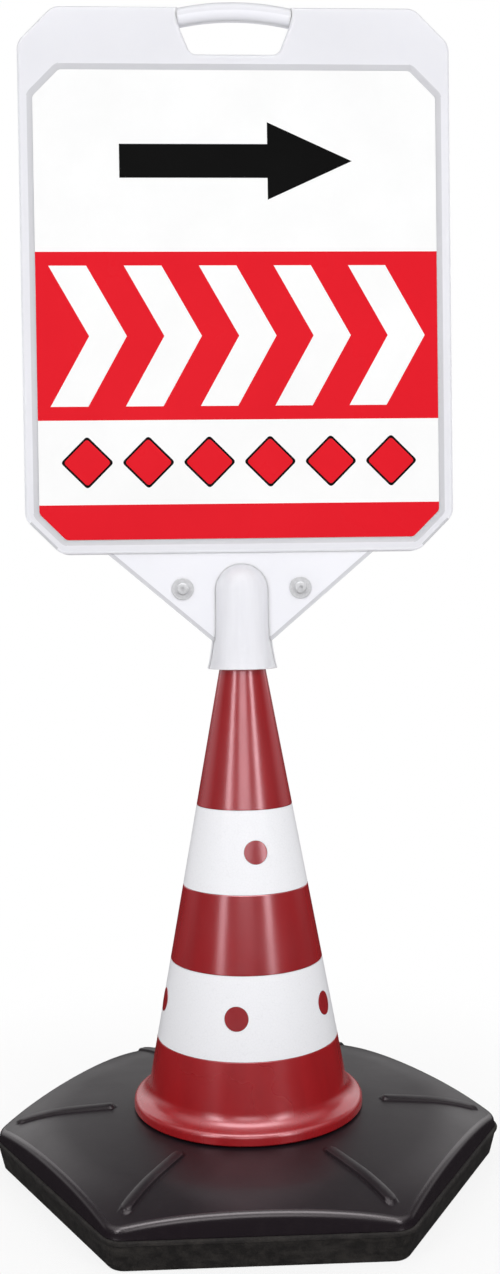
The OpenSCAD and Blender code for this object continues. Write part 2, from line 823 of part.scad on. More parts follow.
// Sunk panel of the gusset, inside its raised border and beside the socket
module gusset_panel() {
    difference() {
        forward(gusset_d - gusset_border_h, gusset_d + past) gusset_outline(gusset_border);
        forward(0, shell_d + past) translate([-board_w / 2, board_z0]) square([board_w, board_h]);
        rotate_extrude() socket_section(0);
    }
}

module front_shell() {
    color([0.88, 0.88, 0.92]) {
        half_shell();
        at_pegs() translate([0, 0, -peg_l]) cylinder(d = peg_d, h = peg_l + face_in);
    }
}

module rear_shell() {
    color([0.86, 0.86, 0.90]) difference() {
        rotate(180) half_shell();
        at_pegs() translate([0, 0, -peg_l - bite_gap])
            cylinder(d = peg_d + 2 * bite_gap, h = peg_l + bite_gap + past);
    }
}

module print_sheet() {
    forward(shell_d - recess_d, shell_d - recess_d + sheet_t) print_outline(-mould_gap);
}

module front_print() {
    color([0.96, 0.96, 0.96]) print_sheet();
}

module rear_print() {
    color([0.96, 0.96, 0.96]) rotate(180) print_sheet();
}

// Clamp fasteners: bolt heads in front, nuts behind, a washer under each
module clamp_bolts() {
    length = 2 * clamp_face + 2 * washer_t + nut_h_ratio * clamp_d + tail;
    color([0.50, 0.51, 0.53]) at_clamps() difference() {
        union() {
            translate([0, 0, clamp_face + washer_t - length]) cylinder(d = clamp_d, h = length);
            translate([0, 0, clamp_face + washer_t]) cylinder(d = clamp_head_d, h = clamp_head_h);
        }
        translate([0, 0, clamp_face + washer_t + clamp_head_h / 2])
            cylinder(d = clamp_key_d, h = clamp_head_h, $fn = 6);
    }
}

module clamp_washers() {
    color([0.62, 0.63, 0.65]) at_clamps() {
        translate([0, 0, clamp_face]) washer(clamp_washer_d, clamp_d);
        translate([0, 0, -clamp_face - washer_t]) washer(clamp_washer_d, clamp_d);
    }
}

module clamp_nuts() {
    color([0.50, 0.51, 0.53]) at_clamps()
        translate([0, 0, -clamp_face - washer_t - nut_h_ratio * clamp_d]) hex_nut(clamp_d);
}

base_tray();
base_cover();
ballast_block();
cover_screws();
anchor_bolts();
anchor_washers();
anchor_nuts();
cone_shell();
upper_sleeve();
lower_sleeve();
front_shell();
rear_shell();
front_print();
rear_print();
clamp_bolts();
clamp_washers();
clamp_nuts();
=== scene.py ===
import math

import bmesh
import bpy
from mathutils import Matrix, Vector


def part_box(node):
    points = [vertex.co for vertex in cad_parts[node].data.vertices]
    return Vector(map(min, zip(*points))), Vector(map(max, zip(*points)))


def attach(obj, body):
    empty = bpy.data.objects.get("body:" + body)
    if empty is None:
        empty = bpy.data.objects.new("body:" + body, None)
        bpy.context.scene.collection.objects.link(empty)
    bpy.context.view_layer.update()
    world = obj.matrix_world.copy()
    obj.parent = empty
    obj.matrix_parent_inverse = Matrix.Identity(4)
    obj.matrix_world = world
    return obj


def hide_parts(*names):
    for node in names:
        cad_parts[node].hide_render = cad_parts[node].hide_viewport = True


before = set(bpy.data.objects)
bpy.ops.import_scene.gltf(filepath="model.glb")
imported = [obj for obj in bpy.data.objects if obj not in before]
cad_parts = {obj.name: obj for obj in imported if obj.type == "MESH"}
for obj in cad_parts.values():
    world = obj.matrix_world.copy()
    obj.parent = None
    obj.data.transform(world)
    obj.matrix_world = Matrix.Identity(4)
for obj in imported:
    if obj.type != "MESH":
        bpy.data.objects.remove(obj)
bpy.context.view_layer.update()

bl_info = {
    "name": "Cone sign",
    "version": (1, 0, 0),
    "blender": (4, 5, 0),
    "location": "3D View > Sidebar > Cone sign",
    "description": "A sign head that swivels on a reflective cone with a ballasted base",
    "category": "Add Mesh",
}

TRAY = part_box("base_tray")
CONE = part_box("cone_shell")
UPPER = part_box("upper_sleeve")
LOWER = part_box("lower_sleeve")
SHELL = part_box("front_shell")
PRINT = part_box("front_print")
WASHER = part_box("clamp_washers")


# Settings that a user would change

def measure(name, text, value, **limits):
    return bpy.props.FloatProperty(name=name, description=text, default=value, **limits)


def length(name, text, value):
    return measure(name, text, value, min=0, unit="LENGTH")


def power(name, text, value):
    return measure(name, text, value, min=0, unit="POWER")


def share(name, text, value):
    return measure(name, text, value, min=0, max=1, subtype="FACTOR")


def colour(name, text, value):
    return bpy.props.FloatVectorProperty(name=name, description=text, default=value, size=3,
                                         min=0, max=1, subtype="COLOR")


class BaseSettings(bpy.types.PropertyGroup):
    corner_centre: length("Corner centre", "Distance of the corner arcs' centres from the axis", 0.23422)
    floor_round: length("Floor corner", "Rounding of the corners at the floor", 0.018)
    seam_round: length("Seam corner", "Rounding of the corners at the seam", 0.0255)
    cover_round: length("Cover corner", "Rounding of the cover's corners at the seam", 0.024)
    seam: length("Seam height", "Height of the seam between tray and cover", TRAY[1].z)
    crown: length("Crown height", "Height of the dome's crown over the floor", 0.0635)
    dome_radius: length("Dome radius", "Radius of the dome's broad middle", 2.5)
    roll_radius: length("Roll-off radius", "Radius of the roll-off around the middle", 0.22)
    roll_start: length("Roll-off start", "Radius where the roll-off starts", 0.18522)
    rim: length("Rim rounding", "Rounding between dome and sides", 0.008)
    rib_width: length("Rib width", "Width of the raised ribs", 0.013)
    rib_height: length("Rib height", "Height of the raised ribs", 0.0032)
    cover_colour: colour("Cover", "Colour of the glossy cover", (0.013, 0.009, 0.012))
    tray_colour: colour("Tray", "Colour of the rough tray", (0.010, 0.0075, 0.007))


class ConeSettings(bpy.types.PropertyGroup):
    seat: length("Seat height", "Height of the cone's seat over the floor", CONE[0].z)
    height: length("Height", "Height from the seat to the shoulder of the neck", 0.459)
    seat_radius: length("Seat radius", "Radius at the seat, with the flare left out", 0.1062)
    neck_radius: length("Neck radius", "Radius of the neck", 0.022)
    foot_radius: length("Foot radius", "Radius of the foot's rim", CONE[1].x)
    foot_bead: length("Foot bead", "Rounding of the foot's rim", 0.006)
    flare: length("Flare radius", "Radius of the hollow flare above the foot", 0.018)
    track: length("Track depth", "Depth of the tracks that hold the sleeves", 0.0012)
    boss: length("Boss radius", "Radius of the bosses that lock the sleeves", 0.0115)
    cone_colour: colour("Cone", "Colour of the cone", (0.41, 0.005, 0.008))
    sleeve_colour: colour("Sleeves", "Colour of the reflective sleeves", (0.87, 0.87, 0.90))


class HeadSettings(bpy.types.PropertyGroup):
    width: length("Width", "Width of the board", 0.438)
    low: length("Lower edge", "Height of the board's lower edge", 0.63073)
    high: length("Upper edge", "Height of the board's upper edge", 1.18173)
    cut: length("Cut corner", "Legs of the board's cut corners", 0.036)
    depth: length("Depth", "Depth of one half shell", 0.0125)
    edge: length("Edge", "Rounding of the board's front edge", 0.0042)
    recess: length("Recess depth", "Depth of the recess that holds the print", 0.003)
    bow_rise: length("Bow rise", "Rise of the grip above the board", 0.007)
    grip_height: length("Grip height", "Height of the grip", 0.016)
    grip_depth: length("Grip depth", "Depth of one half of the grip", 0.011)
    grip_span: length("Grip span", "Span of the bowed grip", 0.124)
    socket: length("Socket radius", "Outer radius of the clamp socket", 0.028)
    shell_colour: colour("Shell", "Colour of the milky shells", (0.755, 0.755, 0.79))
    steel_colour: colour("Steel", "Colour of the plated fasteners", (0.76, 0.76, 0.78))


class PrintSettings(bpy.types.PropertyGroup):
    foot_top: length("Foot stripe", "Upper edge of the stripe at the foot", 0.6805)
    block_low: length("Block's lower edge", "Lower edge of the coloured block", 0.7660)
    block_high: length("Block's upper edge", "Upper edge of the coloured block", 0.9360)
    paper_colour: colour("Ground", "Colour of the sheet", (0.86, 0.86, 0.86))
    block_colour: colour("Block", "Colour of the block and stripe", (0.70, 0.010, 0.020))
    mark_colour: colour("Marks", "Colour of the dark marks", (0.004, 0.004, 0.004))


class StageSettings(bpy.types.PropertyGroup):
    softbox: power("Softboxes", "Power of each upper softbox", 5.7)
    fill: share("Fill", "Strength of the fill light", 0.47)
    frontal: power("Front softbox", "Power of the broad softbox in front", 4.9)
    rear: power("Rear softboxes", "Power of each softbox behind", 4.5)
    overhead: power("Overhead", "Power of the lamp overhead", 22)
    front: share("Front glow", "Brightness mirrored from the front", 0.06)
    back: share("Back glow", "Brightness mirrored from behind", 1.0)
    lens: measure("Lens", "Focal length on a 36 mm sensor", 36.40, min=1, unit="CAMERA")


# Modelling helpers

# How far a cutter reaches past what it cuts
PAST = 0.01


def drop_selection():
    if bpy.context.object and bpy.context.object.mode != "OBJECT":
        bpy.ops.object.mode_set(mode="OBJECT")
    bpy.ops.object.select_all(action="DESELECT")


def activate(piece):
    drop_selection()
    piece.select_set(True)
    bpy.context.view_layer.objects.active = piece


def select_all():
    bpy.ops.mesh.select_all(action="SELECT")


def edit(piece):
    """Opens a piece in edit mode, all selected."""
    activate(piece)
    bpy.ops.object.mode_set(mode="EDIT")
    select_all()


def started(name, add, **values):
    """Adds a primitive at its size and place, and opens it in edit mode, all selected."""
    drop_selection()
    add(**values)
    piece = bpy.context.object
    piece.name = name
    piece.data.name = name
    bpy.ops.object.transform_apply(location=True, rotation=True, scale=True)
    edit(piece)
    return piece


def pick(kind, test):
    """Selects the verts, edges or faces, in edit mode, whose corners all pass the test."""
    modes = {"verts": "VERT", "edges": "EDGE", "faces": "FACE"}
    bpy.ops.mesh.select_mode(type=modes[kind])
    bpy.ops.mesh.select_all(action="DESELECT")
    mesh = bpy.context.object.data
    bm = bmesh.from_edit_mesh(mesh)
    found = [part for part in getattr(bm, kind) if all(test(v.co) for v in getattr(part, "verts", [part]))]
    if not found:
        raise RuntimeError("nothing to select on " + mesh.name)
    for part in found:
        part.select_set(True)
    bm.select_flush_mode()
    bmesh.update_edit_mesh(mesh)


def near(value, target):
    return abs(value - target) < 2e-5


def extrude(move):
    bpy.ops.mesh.extrude_region_move(TRANSFORM_OT_translate={"value": move})


def bevel(size, segments, affect="EDGES"):
    bpy.ops.mesh.bevel(offset=size, segments=segments, affect=affect, profile=0.5, clamp_overlap=False)


def close_mesh():
    """Merges doubles, turns the faces outwards and leaves edit mode."""
    select_all()
    bpy.ops.mesh.remove_doubles(threshold=1e-6)
    bpy.ops.mesh.normals_make_consistent(inside=False)
    bpy.ops.object.mode_set(mode="OBJECT")


def apply_modifier(piece, kind, **values):
    activate(piece)
    modifier = piece.modifiers.new(kind.title(), kind)
    for key, value in values.items():
        setattr(modifier, key, value)
    bpy.ops.object.modifier_apply(modifier=modifier.name)


def carve(piece, tool, operation="DIFFERENCE"):
    apply_modifier(piece, "BOOLEAN", object=tool, operation=operation, solver="EXACT")
    bpy.data.objects.remove(tool)
    return piece


def join(first, *others):
    activate(first)
    for other in others:
        other.select_set(True)
    bpy.ops.object.join()
    return first


def copied(piece, name, matrix):
    """A copy with its own mesh, moved by a matrix."""
    activate(piece)
    bpy.ops.object.duplicate()
    twin = bpy.context.object
    twin.name = name
    twin.data.name = name
    twin.data.transform(matrix)
    return twin


def wear(piece, *finishes):
    for finish in finishes:
        piece.data.materials.append(finish)


def paint(piece, choose):
    """Gives each face the finish that the test chooses by its number."""
    for face in piece.data.polygons:
        face.material_index = choose(face)


def settle(piece, body, node, angle=35):
    """Shades a finished piece, hangs it on its body and puts it in a node's place."""
    activate(piece)
    bpy.ops.object.shade_smooth_by_angle(angle=math.radians(angle))
    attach(piece, body)
    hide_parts(node)


def arc(centre, radius, start, end, steps):
    """Points on an arc in the (radius, height) plane, angles in degrees."""
    turns = [math.radians(start + (end - start) * i / steps) for i in range(steps + 1)]
    return [(centre[0] + radius * math.cos(t), centre[1] + radius * math.sin(t)) for t in turns]


def turned(name, profile, segments, cap=False):
    """A turned form: a circle drawn out ring by ring along a profile of (radius, height)."""
    r, z = profile[0]
    piece = started(name, bpy.ops.mesh.primitive_circle_add, vertices=segments, radius=r, location=(0, 0, z),
                    fill_type="NGON" if cap else "NOTHING")
    for next_r, next_z in profile[1:]:
        extrude((0, 0, next_z - z))
        bpy.ops.transform.resize(value=(next_r / r, next_r / r, 1), center_override=(0, 0, next_z))
        r, z = next_r, next_z
    if cap:
        bpy.ops.mesh.merge(type="CENTER")
    close_mesh()
    return piece


def rod(name, radius, low, high, sides=48):
    """A plain cutter along Z."""
    piece = started(name, bpy.ops.mesh.primitive_cylinder_add, vertices=sides, radius=radius,
                    depth=high - low, location=(0, 0, (low + high) / 2))
    bpy.ops.object.mode_set(mode="OBJECT")
    return piece


# Finishes

class Nodes:
    """A node tree that is wired up node by node."""

    def __init__(self, tree, coordinates):
        self.tree = tree
        self.place = self.add("ShaderNodeTexCoord").outputs[coordinates]

    def plug(self, value, socket):
        if isinstance(value, bpy.types.NodeSocket):
            self.tree.links.new(value, socket)
        else:
            socket.default_value = value

    def add(self, kind, inputs=(), **values):
        node = self.tree.nodes.new(kind)
        for key, value in values.items():
            setattr(node, key, value)
        for key, value in dict(inputs).items():
            self.plug(value, node.inputs[key])
        return node

    def axes(self):
        return self.add("ShaderNodeSeparateXYZ", {"Vector": self.place}).outputs

    def math(self, operation, *numbers):
        return self.add("ShaderNodeMath", enumerate(numbers), operation=operation).outputs[0]

    def span(self, value, from_min, from_max, to_min, to_max, **values):
        limits = {"Value": value, "From Min": from_min, "From Max": from_max, "To Min": to_min,
                  "To Max": to_max}
        return self.add("ShaderNodeMapRange", limits, **values).outputs["Result"]


class Finish(Nodes):
    """A node material whose patterns lie in Object coordinates."""

    def __init__(self, name, base, roughness):
        self.material = bpy.data.materials.new(name)
        self.material.use_nodes = True
        self.base = tuple(base)
        super().__init__(self.material.node_tree, "Object")
        self.shader = self.tree.nodes["Principled BSDF"]
        self.wire({"Base Color": (*base, 1), "Roughness": roughness})

    def wire(self, inputs):
        for name, value in inputs.items():
            self.plug(value, self.shader.inputs[name])

    def stretched(self, *scale):
        return self.add("ShaderNodeMapping", {"Vector": self.place, "Scale": scale}).outputs["Vector"]

    def noise(self, scale, detail=3, roughness=0.5, place=None):
        inputs = {"Vector": place or self.place, "Scale": scale, "Detail": detail, "Roughness": roughness}
        return self.add("ShaderNodeTexNoise", inputs).outputs["Fac"]

    def cells(self, scale, feature="DISTANCE_TO_EDGE"):
        inputs = {"Vector": self.place, "Scale": scale}
        return self.add("ShaderNodeTexVoronoi", inputs, feature=feature).outputs["Distance"]

    def shade(self, factor):
        """The base colour, darker or paler."""
        return tuple(min(1, c * factor) for c in self.base)

    def blend(self, factor, first, second):
        """Goes from one colour to another, where the first may be a blend."""
        if not isinstance(first, bpy.types.NodeSocket):
            first = (*first, 1)
        inputs = {"Factor": factor, 6: first, 7: (*second, 1)}
        return self.add("ShaderNodeMix", inputs, data_type="RGBA").outputs[2]

    def patches(self, pattern, smooth, rough):
        """Roughness that follows a pattern."""
        return self.span(pattern, 0.3, 0.7, smooth, rough)

    def relief(self, *layers):
        """Bumps from layers of pattern, strength and distance, each on the one before it."""
        inputs = {}
        for pattern, strength, distance in layers:
            inputs.update({"Height": pattern, "Strength": strength, "Distance": distance})
            inputs["Normal"] = self.add("ShaderNodeBump", inputs).outputs["Normal"]
        return inputs["Normal"]


def cover_gloss(settings, name, gloss, smooth, rough):
    f = Finish(name, settings.cover_colour, smooth)
    cloud = f.noise(9, 4, 0.6)
    peel = f.noise(420, 2)
    dust = f.span(f.noise(70, 6, 0.7), 0.5, 0.75, 0, 0.5)
    f.wire({"Base Color": f.blend(dust, f.base, (0.022, 0.016, 0.019)),
            "Roughness": f.patches(cloud, smooth, rough),
            "Normal": f.relief((cloud, 0.05, 0.004), (peel, 0.05, 0.0006)),
            "Specular IOR Level": gloss, "Specular Tint": (1, 0.93, 0.95, 1)})
    return f.material


def tray_rough(settings):
    f = Finish("tray_rough", settings.tray_colour, 0.8)
    grain = f.noise(520, 4, 0.65)
    lumps = f.noise(90, 5, 0.7)
    streaks = f.noise(24, 4, 0.6, f.stretched(1, 1, 5))
    pale = f.blend(f.span(lumps, 0.42, 0.72, 0, 1), f.base, (0.026, 0.021, 0.018))
    f.wire({"Base Color": f.blend(f.span(streaks, 0.5, 0.8, 0, 0.6), pale, (0.038, 0.032, 0.028)),
            "Roughness": f.patches(grain, 0.66, 0.92),
            "Normal": f.relief((lumps, 0.5, 0.003), (grain, 0.5, 0.0012))})
    return f.material


def cone_red(settings, name, gloss, smooth, rough):
    f = Finish(name, settings.cone_colour, smooth)
    drawn = f.noise(46, 4, 0.6, f.stretched(1, 1, 0.12))
    cloud = f.noise(14, 3)
    fine = f.noise(600, 2)
    f.wire({"Base Color": f.blend(f.span(drawn, 0.35, 0.7, 0, 0.5), f.base, f.shade(0.72)),
            "Roughness": f.patches(cloud, smooth, rough),
            "Normal": f.relief((drawn, 0.06, 0.0015), (fine, 0.04, 0.0005)),
            "Specular IOR Level": gloss, "IOR": 2.2, "Specular Tint": (1, 0.72, 0.78, 1)})
    return f.material


def sleeve_film(settings):
    f = Finish("sleeve_film", settings.sleeve_colour, 0.32)
    cells = f.cells(330)
    cloud = f.noise(18, 3)
    f.wire({"Base Color": f.blend(f.span(cells, 0.0, 0.07, 0.55, 0.0), f.base, f.shade(0.90)),
            "Roughness": f.patches(cloud, 0.28, 0.40),
            "Normal": f.relief((cells, 0.06, 0.0004)),
            "Specular IOR Level": 0.2})
    return f.material


# A factor below one makes a copy with painted shade, above one a copy with painted light
def shell_milky(name, settings, factor):
    f = Finish(name, [min(1, c * factor) for c in settings.shell_colour], 0.36)
    flow = f.noise(7, 4, 0.55)
    fine = f.noise(380, 3)
    f.wire({"Base Color": f.blend(f.span(flow, 0.35, 0.7, 0, 1), f.base, f.shade(0.955)),
            "Roughness": f.patches(flow, 0.32, 0.44),
            "Normal": f.relief((fine, 0.05, 0.0006)),
            "Subsurface Weight": 1, "Subsurface Radius": (1, 1, 1), "Subsurface Scale": 0.003})
    return f


def milky_socket(settings):
    """A paler copy of the milky finish, darker along the parting line with painted shade, and streaked with
    painted reflections.
    """
    # Paler than the shell by a twentieth: painted light
    f = shell_milky("shell_socket", settings, 1.05)
    axes = f.axes()
    # Painted shade at the socket's sides near the parting line, strongest low on the skirt and weaker higher
    # up
    thick = f.span(f.math("ABSOLUTE", axes["X"]), 0.021, 0.029, 0, 1)
    low = f.span(axes["Z"], 0.555, 0.615, 1, 0.25)
    # Vertical streaks of painted reflection
    reflection_streak = f.noise(120, 3, 0.6, f.stretched(1, 1, 0.08))
    ground = f.blend(f.span(reflection_streak, 0.4, 0.7, 0, 0.5), f.base, f.shade(0.92))
    f.wire({"Base Color": f.blend(f.math("MULTIPLY", thick, low), ground, f.shade(0.86))})
    return f


def vinyl(name, base, roughness):
    f = Finish(name, base, roughness)
    cloud = f.noise(11, 4, 0.6)
    ripple = f.noise(60, 3)
    f.wire({"Base Color": f.blend(f.span(cloud, 0.35, 0.7, 0, 1), f.base, f.shade(0.965)),
            "Roughness": f.patches(cloud, roughness - 0.04, roughness + 0.08),
            "Normal": f.relief((ripple, 0.03, 0.0008)),
            "Specular IOR Level": 0.04})
    return f.material


def plated_steel(settings):
    f = Finish("plated_steel", settings.steel_colour, 0.45)
    spangle = f.cells(420, "F1")
    brushed = f.noise(260, 3, 0.6, f.stretched(1, 0.2, 1))
    f.wire({"Base Color": f.blend(f.span(spangle, 0.1, 0.8, 0, 0.6), f.base, f.shade(0.78)),
            "Roughness": f.patches(brushed, 0.30, 0.50),
            "Normal": f.relief((brushed, 0.08, 0.0004)),
            "Metallic": 0.45})
    return f.material


def cast_concrete():
    f = Finish("cast_concrete", (0.36, 0.35, 0.33), 0.9)
    sand = f.noise(300, 5, 0.7)
    pores = f.cells(120, "F1")
    f.wire({"Base Color": f.blend(f.patches(sand, 0, 1), (0.30, 0.29, 0.27), (0.44, 0.43, 0.41)),
            "Normal": f.relief((pores, 0.3, 0.002), (sand, 0.4, 0.001))})
    return f.material


# Base

CORNER_POINTS = 11
SIDE_POINTS = 25


def six_sided(corner):
    """Points of a hexagon, counterclockwise: a corner's points, those of the side after it, and so on."""
    points = []
    for i in range(6):
        here, ahead = (Matrix.Rotation(math.radians(60 * k), 2) for k in (i, i + 1))
        points += [here @ p for p in corner]
        last = points[-1]
        points += [last.lerp(ahead @ corner[0], k / SIDE_POINTS) for k in range(1, SIDE_POINTS)]
    return points


def hex_outline(centre, radius):
    """Points of a hexagon with rounded corners."""
    return six_sided([Vector(p) for p in arc((centre, 0), radius, -30, 30, CORNER_POINTS - 1)])


def rib_outline(reach, tracks):
    """Points of a hexagon whose corners are cut square, so that they run along the ribs."""
    return six_sided([Vector((reach, t)) for t in tracks])


def stacked(name, rings):
    """A form drawn out ring by ring, where each ring is a list of points with heights."""
    piece = started(name, bpy.ops.mesh.primitive_circle_add, vertices=len(rings[0]), radius=1,
                    fill_type="NGON")
    order = range(len(rings[0]))
    for number, ring in enumerate(rings):
        if number:
            extrude((0, 0, 0.001))
        bm = bmesh.from_edit_mesh(piece.data)
        bm.verts.index_update()
        bm.verts.ensure_lookup_table()
        if number:
            order = [next(e.other_vert(bm.verts[i]).index for e in bm.verts[i].link_edges
                          if e.other_vert(bm.verts[i]).select) for i in order]
        for i, point in zip(order, ring):
            bm.verts[i].co = point
        bmesh.update_edit_mesh(piece.data)
    close_mesh()
    return piece


def at_height(points, z):
    return [Vector((p.x, p.y, z)) for p in points]


def dome_height(s, r, drop=0.0):
    """Height of the dome at radius r, with its surface moved in by drop."""
    centre_z = s.crown - s.dome_radius
    if r < s.roll_start * (1 - drop / s.dome_radius):
        return centre_z + math.sqrt((s.dome_radius - drop) ** 2 - r * r)
    roll_x = s.roll_start * (1 - s.roll_radius / s.dome_radius)
    lean = math.sqrt(1 - (s.roll_start / s.dome_radius) ** 2)
    roll_z = centre_z + (s.dome_radius - s.roll_radius) * lean
    return roll_z + math.sqrt((s.roll_radius - drop) ** 2 - (r - roll_x) ** 2)


class CONESIGN_OT_tray(bpy.types.Operator):
    """Models the rough lower tray with its seam lip and its screw recesses"""
    bl_idname = "conesign.tray"
    bl_label = "Base tray"

    # Height in the tray's height, and how far the wall has leaned out from floor to seam
    WALL = ((0, -0.30), (0.02, -0.12), (0.06, 0.03), (0.82, 0.80), (0.85, 0.88), (0.875, 1.03),
            (0.95, 1.08), (0.985, 1.02), (1, 0.90))
    # Distance from the axis, radius, count and first turn of the bores for the heads
    SCREWS = (0.22222, 0.0058, 6, 0)
    ANCHORS = (0.0882, 0.0088, 3, 30)
    HEAD_DEPTH = 0.0035

    def execute(self, context):
        s = context.scene.cone_base
        lean = s.seam_round - s.floor_round
        rings = [at_height(hex_outline(s.corner_centre, s.floor_round + lean * out), s.seam * up)
                 for up, out in self.WALL]
        tray = stacked("rough_tray", rings)
        bores = []
        for reach, radius, count, start in (self.SCREWS, self.ANCHORS):
            for i in range(count):
                turn = Matrix.Rotation(math.radians(start + 360 / count * i), 4, "Z")
                bore = rod("bore", radius, -PAST, self.HEAD_DEPTH)
                bore.data.transform(turn @ Matrix.Translation((reach, 0, 0)))
                bores.append(bore)
        carve(tray, join(*bores))
        wear(tray, tray_rough(s))
        settle(tray, "stand", "base_tray")
        return {"FINISHED"}


class CONESIGN_OT_cover(bpy.types.Operator):
    """Models the glossy domed cover with its rolled rim and six raised ribs"""
    bl_idname = "conesign.cover"
    bl_label = "Base cover"

    LEAN = 0.001
    FOOT_EDGE = 0.0008
    RIM_TURNS = (0, 12, 24, 36, 48, 60, 72)
    # Room between a rib and the cone's foot, and between a rib and the rim
    RIB_GAPS = (0.020, 0.009)
    RIB_SOFT = 0.0016
    # Lines along a rib, in mm from its middle
    TRACKS = (-9, -6.9, -6.3, -5.4, -3, 0, 3, 5.4, 6.3, 6.9, 9)
    # Distance from the axis to the corners of the dome's outer and inner ring
    REACH = (0.2484, 0.1245)
    RINGS = 60

    def rib_lift(self, s, along, across):
        """Height of a rib over the dome, along and across its line."""
        half = s.rib_width / 2
        start = bpy.context.scene.cone_body.foot_radius + self.RIB_GAPS[0] + half
        end = s.corner_centre + s.cover_round - self.LEAN - s.rim - self.RIB_GAPS[1] - half
        beyond = max(start - along, along - end, 0)
        inside = (half - math.hypot(beyond, across)) / self.RIB_SOFT
        inside = min(1, max(0, inside))
        return s.rib_height * inside * inside * (3 - 2 * inside)

    def execute(self, context):
        s = context.scene.cone_base
        side = hex_outline(s.corner_centre, s.cover_round - self.LEAN)
        inner = hex_outline(s.corner_centre, s.cover_round - self.LEAN - s.rim)
        rings = [at_height(hex_outline(s.corner_centre, s.cover_round - self.FOOT_EDGE), s.seam),
                 at_height(hex_outline(s.corner_centre, s.cover_round), s.seam + self.FOOT_EDGE)]
        for turn in self.RIM_TURNS:
            a = math.radians(turn)
            ring = []
            for p, c in zip(side, inner):
                out = c + (p - c) * math.cos(a)
                ring.append(Vector((out.x, out.y, dome_height(s, c.length, s.rim) + s.rim * math.sin(a))))
            rings.append(ring)
        rim_end = len(side) * len(rings)
        tracks = [t / 1000 for t in self.TRACKS]
        for step in range(self.RINGS + 1):
            reach = self.REACH[0] + (self.REACH[1] - self.REACH[0]) * step / self.RINGS
            ring = []
            for number, p in enumerate(rib_outline(reach, tracks)):
                place = number % (CORNER_POINTS + SIDE_POINTS - 1)
                lift = self.rib_lift(s, reach, tracks[place]) if place < CORNER_POINTS else 0
                ring.append(Vector((p.x, p.y, dome_height(s, p.length) + lift)))
            rings.append(ring)
        cover = stacked("gloss_cover", rings)
        wear(cover, cover_gloss(s, "cover_dome", gloss=0.42, smooth=0.30, rough=0.40),
             cover_gloss(s, "cover_rim", gloss=0.85, smooth=0.22, rough=0.28))
        paint(cover, lambda face: max(face.vertices) < rim_end)
        settle(cover, "stand", "base_cover")
        return {"FINISHED"}


# Cone

# Each sleeve's node and box, with the count and the first turn of the bosses in its track
SLEEVES = (("upper_sleeve", UPPER, 3, 8.7), ("lower_sleeve", LOWER, 5, -9.4))
TRACK_GAP = 0.00015
CONE_SIDES = 192


def taper(s):
    return (s.seat_radius - s.neck_radius) / s.height


def wall_radius(s, height, depth=0.0):
    """Radius of the cone's plain wall at a height over its seat, depth under its surface."""
    return s.seat_radius - taper(s) * height - depth / math.cos(math.atan(taper(s)))


def flare_profile(s):
    """Foot's rounded rim and the hollow flare that joins it to the wall."""
    edge = 0.0012
    tilt = math.atan(taper(s))
    bead = (s.foot_radius - s.foot_bead, s.foot_bead)
    reach = s.flare / math.cos(tilt)
    a = s.seat_radius + reach - bead[0]
    b = a * taper(s) + bead[1]
    c = a * a + bead[1] ** 2 - (s.flare + s.foot_bead) ** 2
    q = 1 + taper(s) ** 2
    h = (b + math.sqrt(b * b - q * c)) / q
    flare = (wall_radius(s, h) + reach, h)
    meet = math.degrees(math.atan2(flare[1] - bead[1], flare[0] - bead[0]))
    rim = arc(bead, s.foot_bead, 0, meet, 9)
    hollow = arc(flare, s.flare, meet + 180, 180 + math.degrees(tilt), 14)
    return [(s.foot_radius - edge, 0), (s.foot_radius, edge)] + rim + hollow[1:]


def track_span(s, box):
    return box[0].z - s.seat - TRACK_GAP, box[1].z - s.seat + TRACK_GAP


def track_rods(s, box, count, turn, radius, reach):
    """Rods square to the wall in the middle of a track, as one object."""
    mid = sum(track_span(s, box)) / 2
    tilt = math.atan(taper(s))
    rods = []
    for i in range(count):
        pin = rod("pin", radius, -reach, reach)
        place = Matrix.Rotation(math.radians(turn - 90 + 360 / count * i), 4, "Z")
        place = place @ Matrix.Translation((wall_radius(s, mid), 0, mid + s.seat))
        pin.data.transform(place @ Matrix.Rotation(math.pi / 2 - tilt, 4, "Y"))
        rods.append(pin)
    return join(*rods)


def wall_band(s, name, start, end, deep, shallow):
    """A turned band that follows the wall between two heights and two depths."""
    section = ((start, deep), (start, shallow), (end, shallow), (end, deep), (start, deep))
    return turned(name, [(wall_radius(s, z, depth), z + s.seat) for z, depth in section], CONE_SIDES)


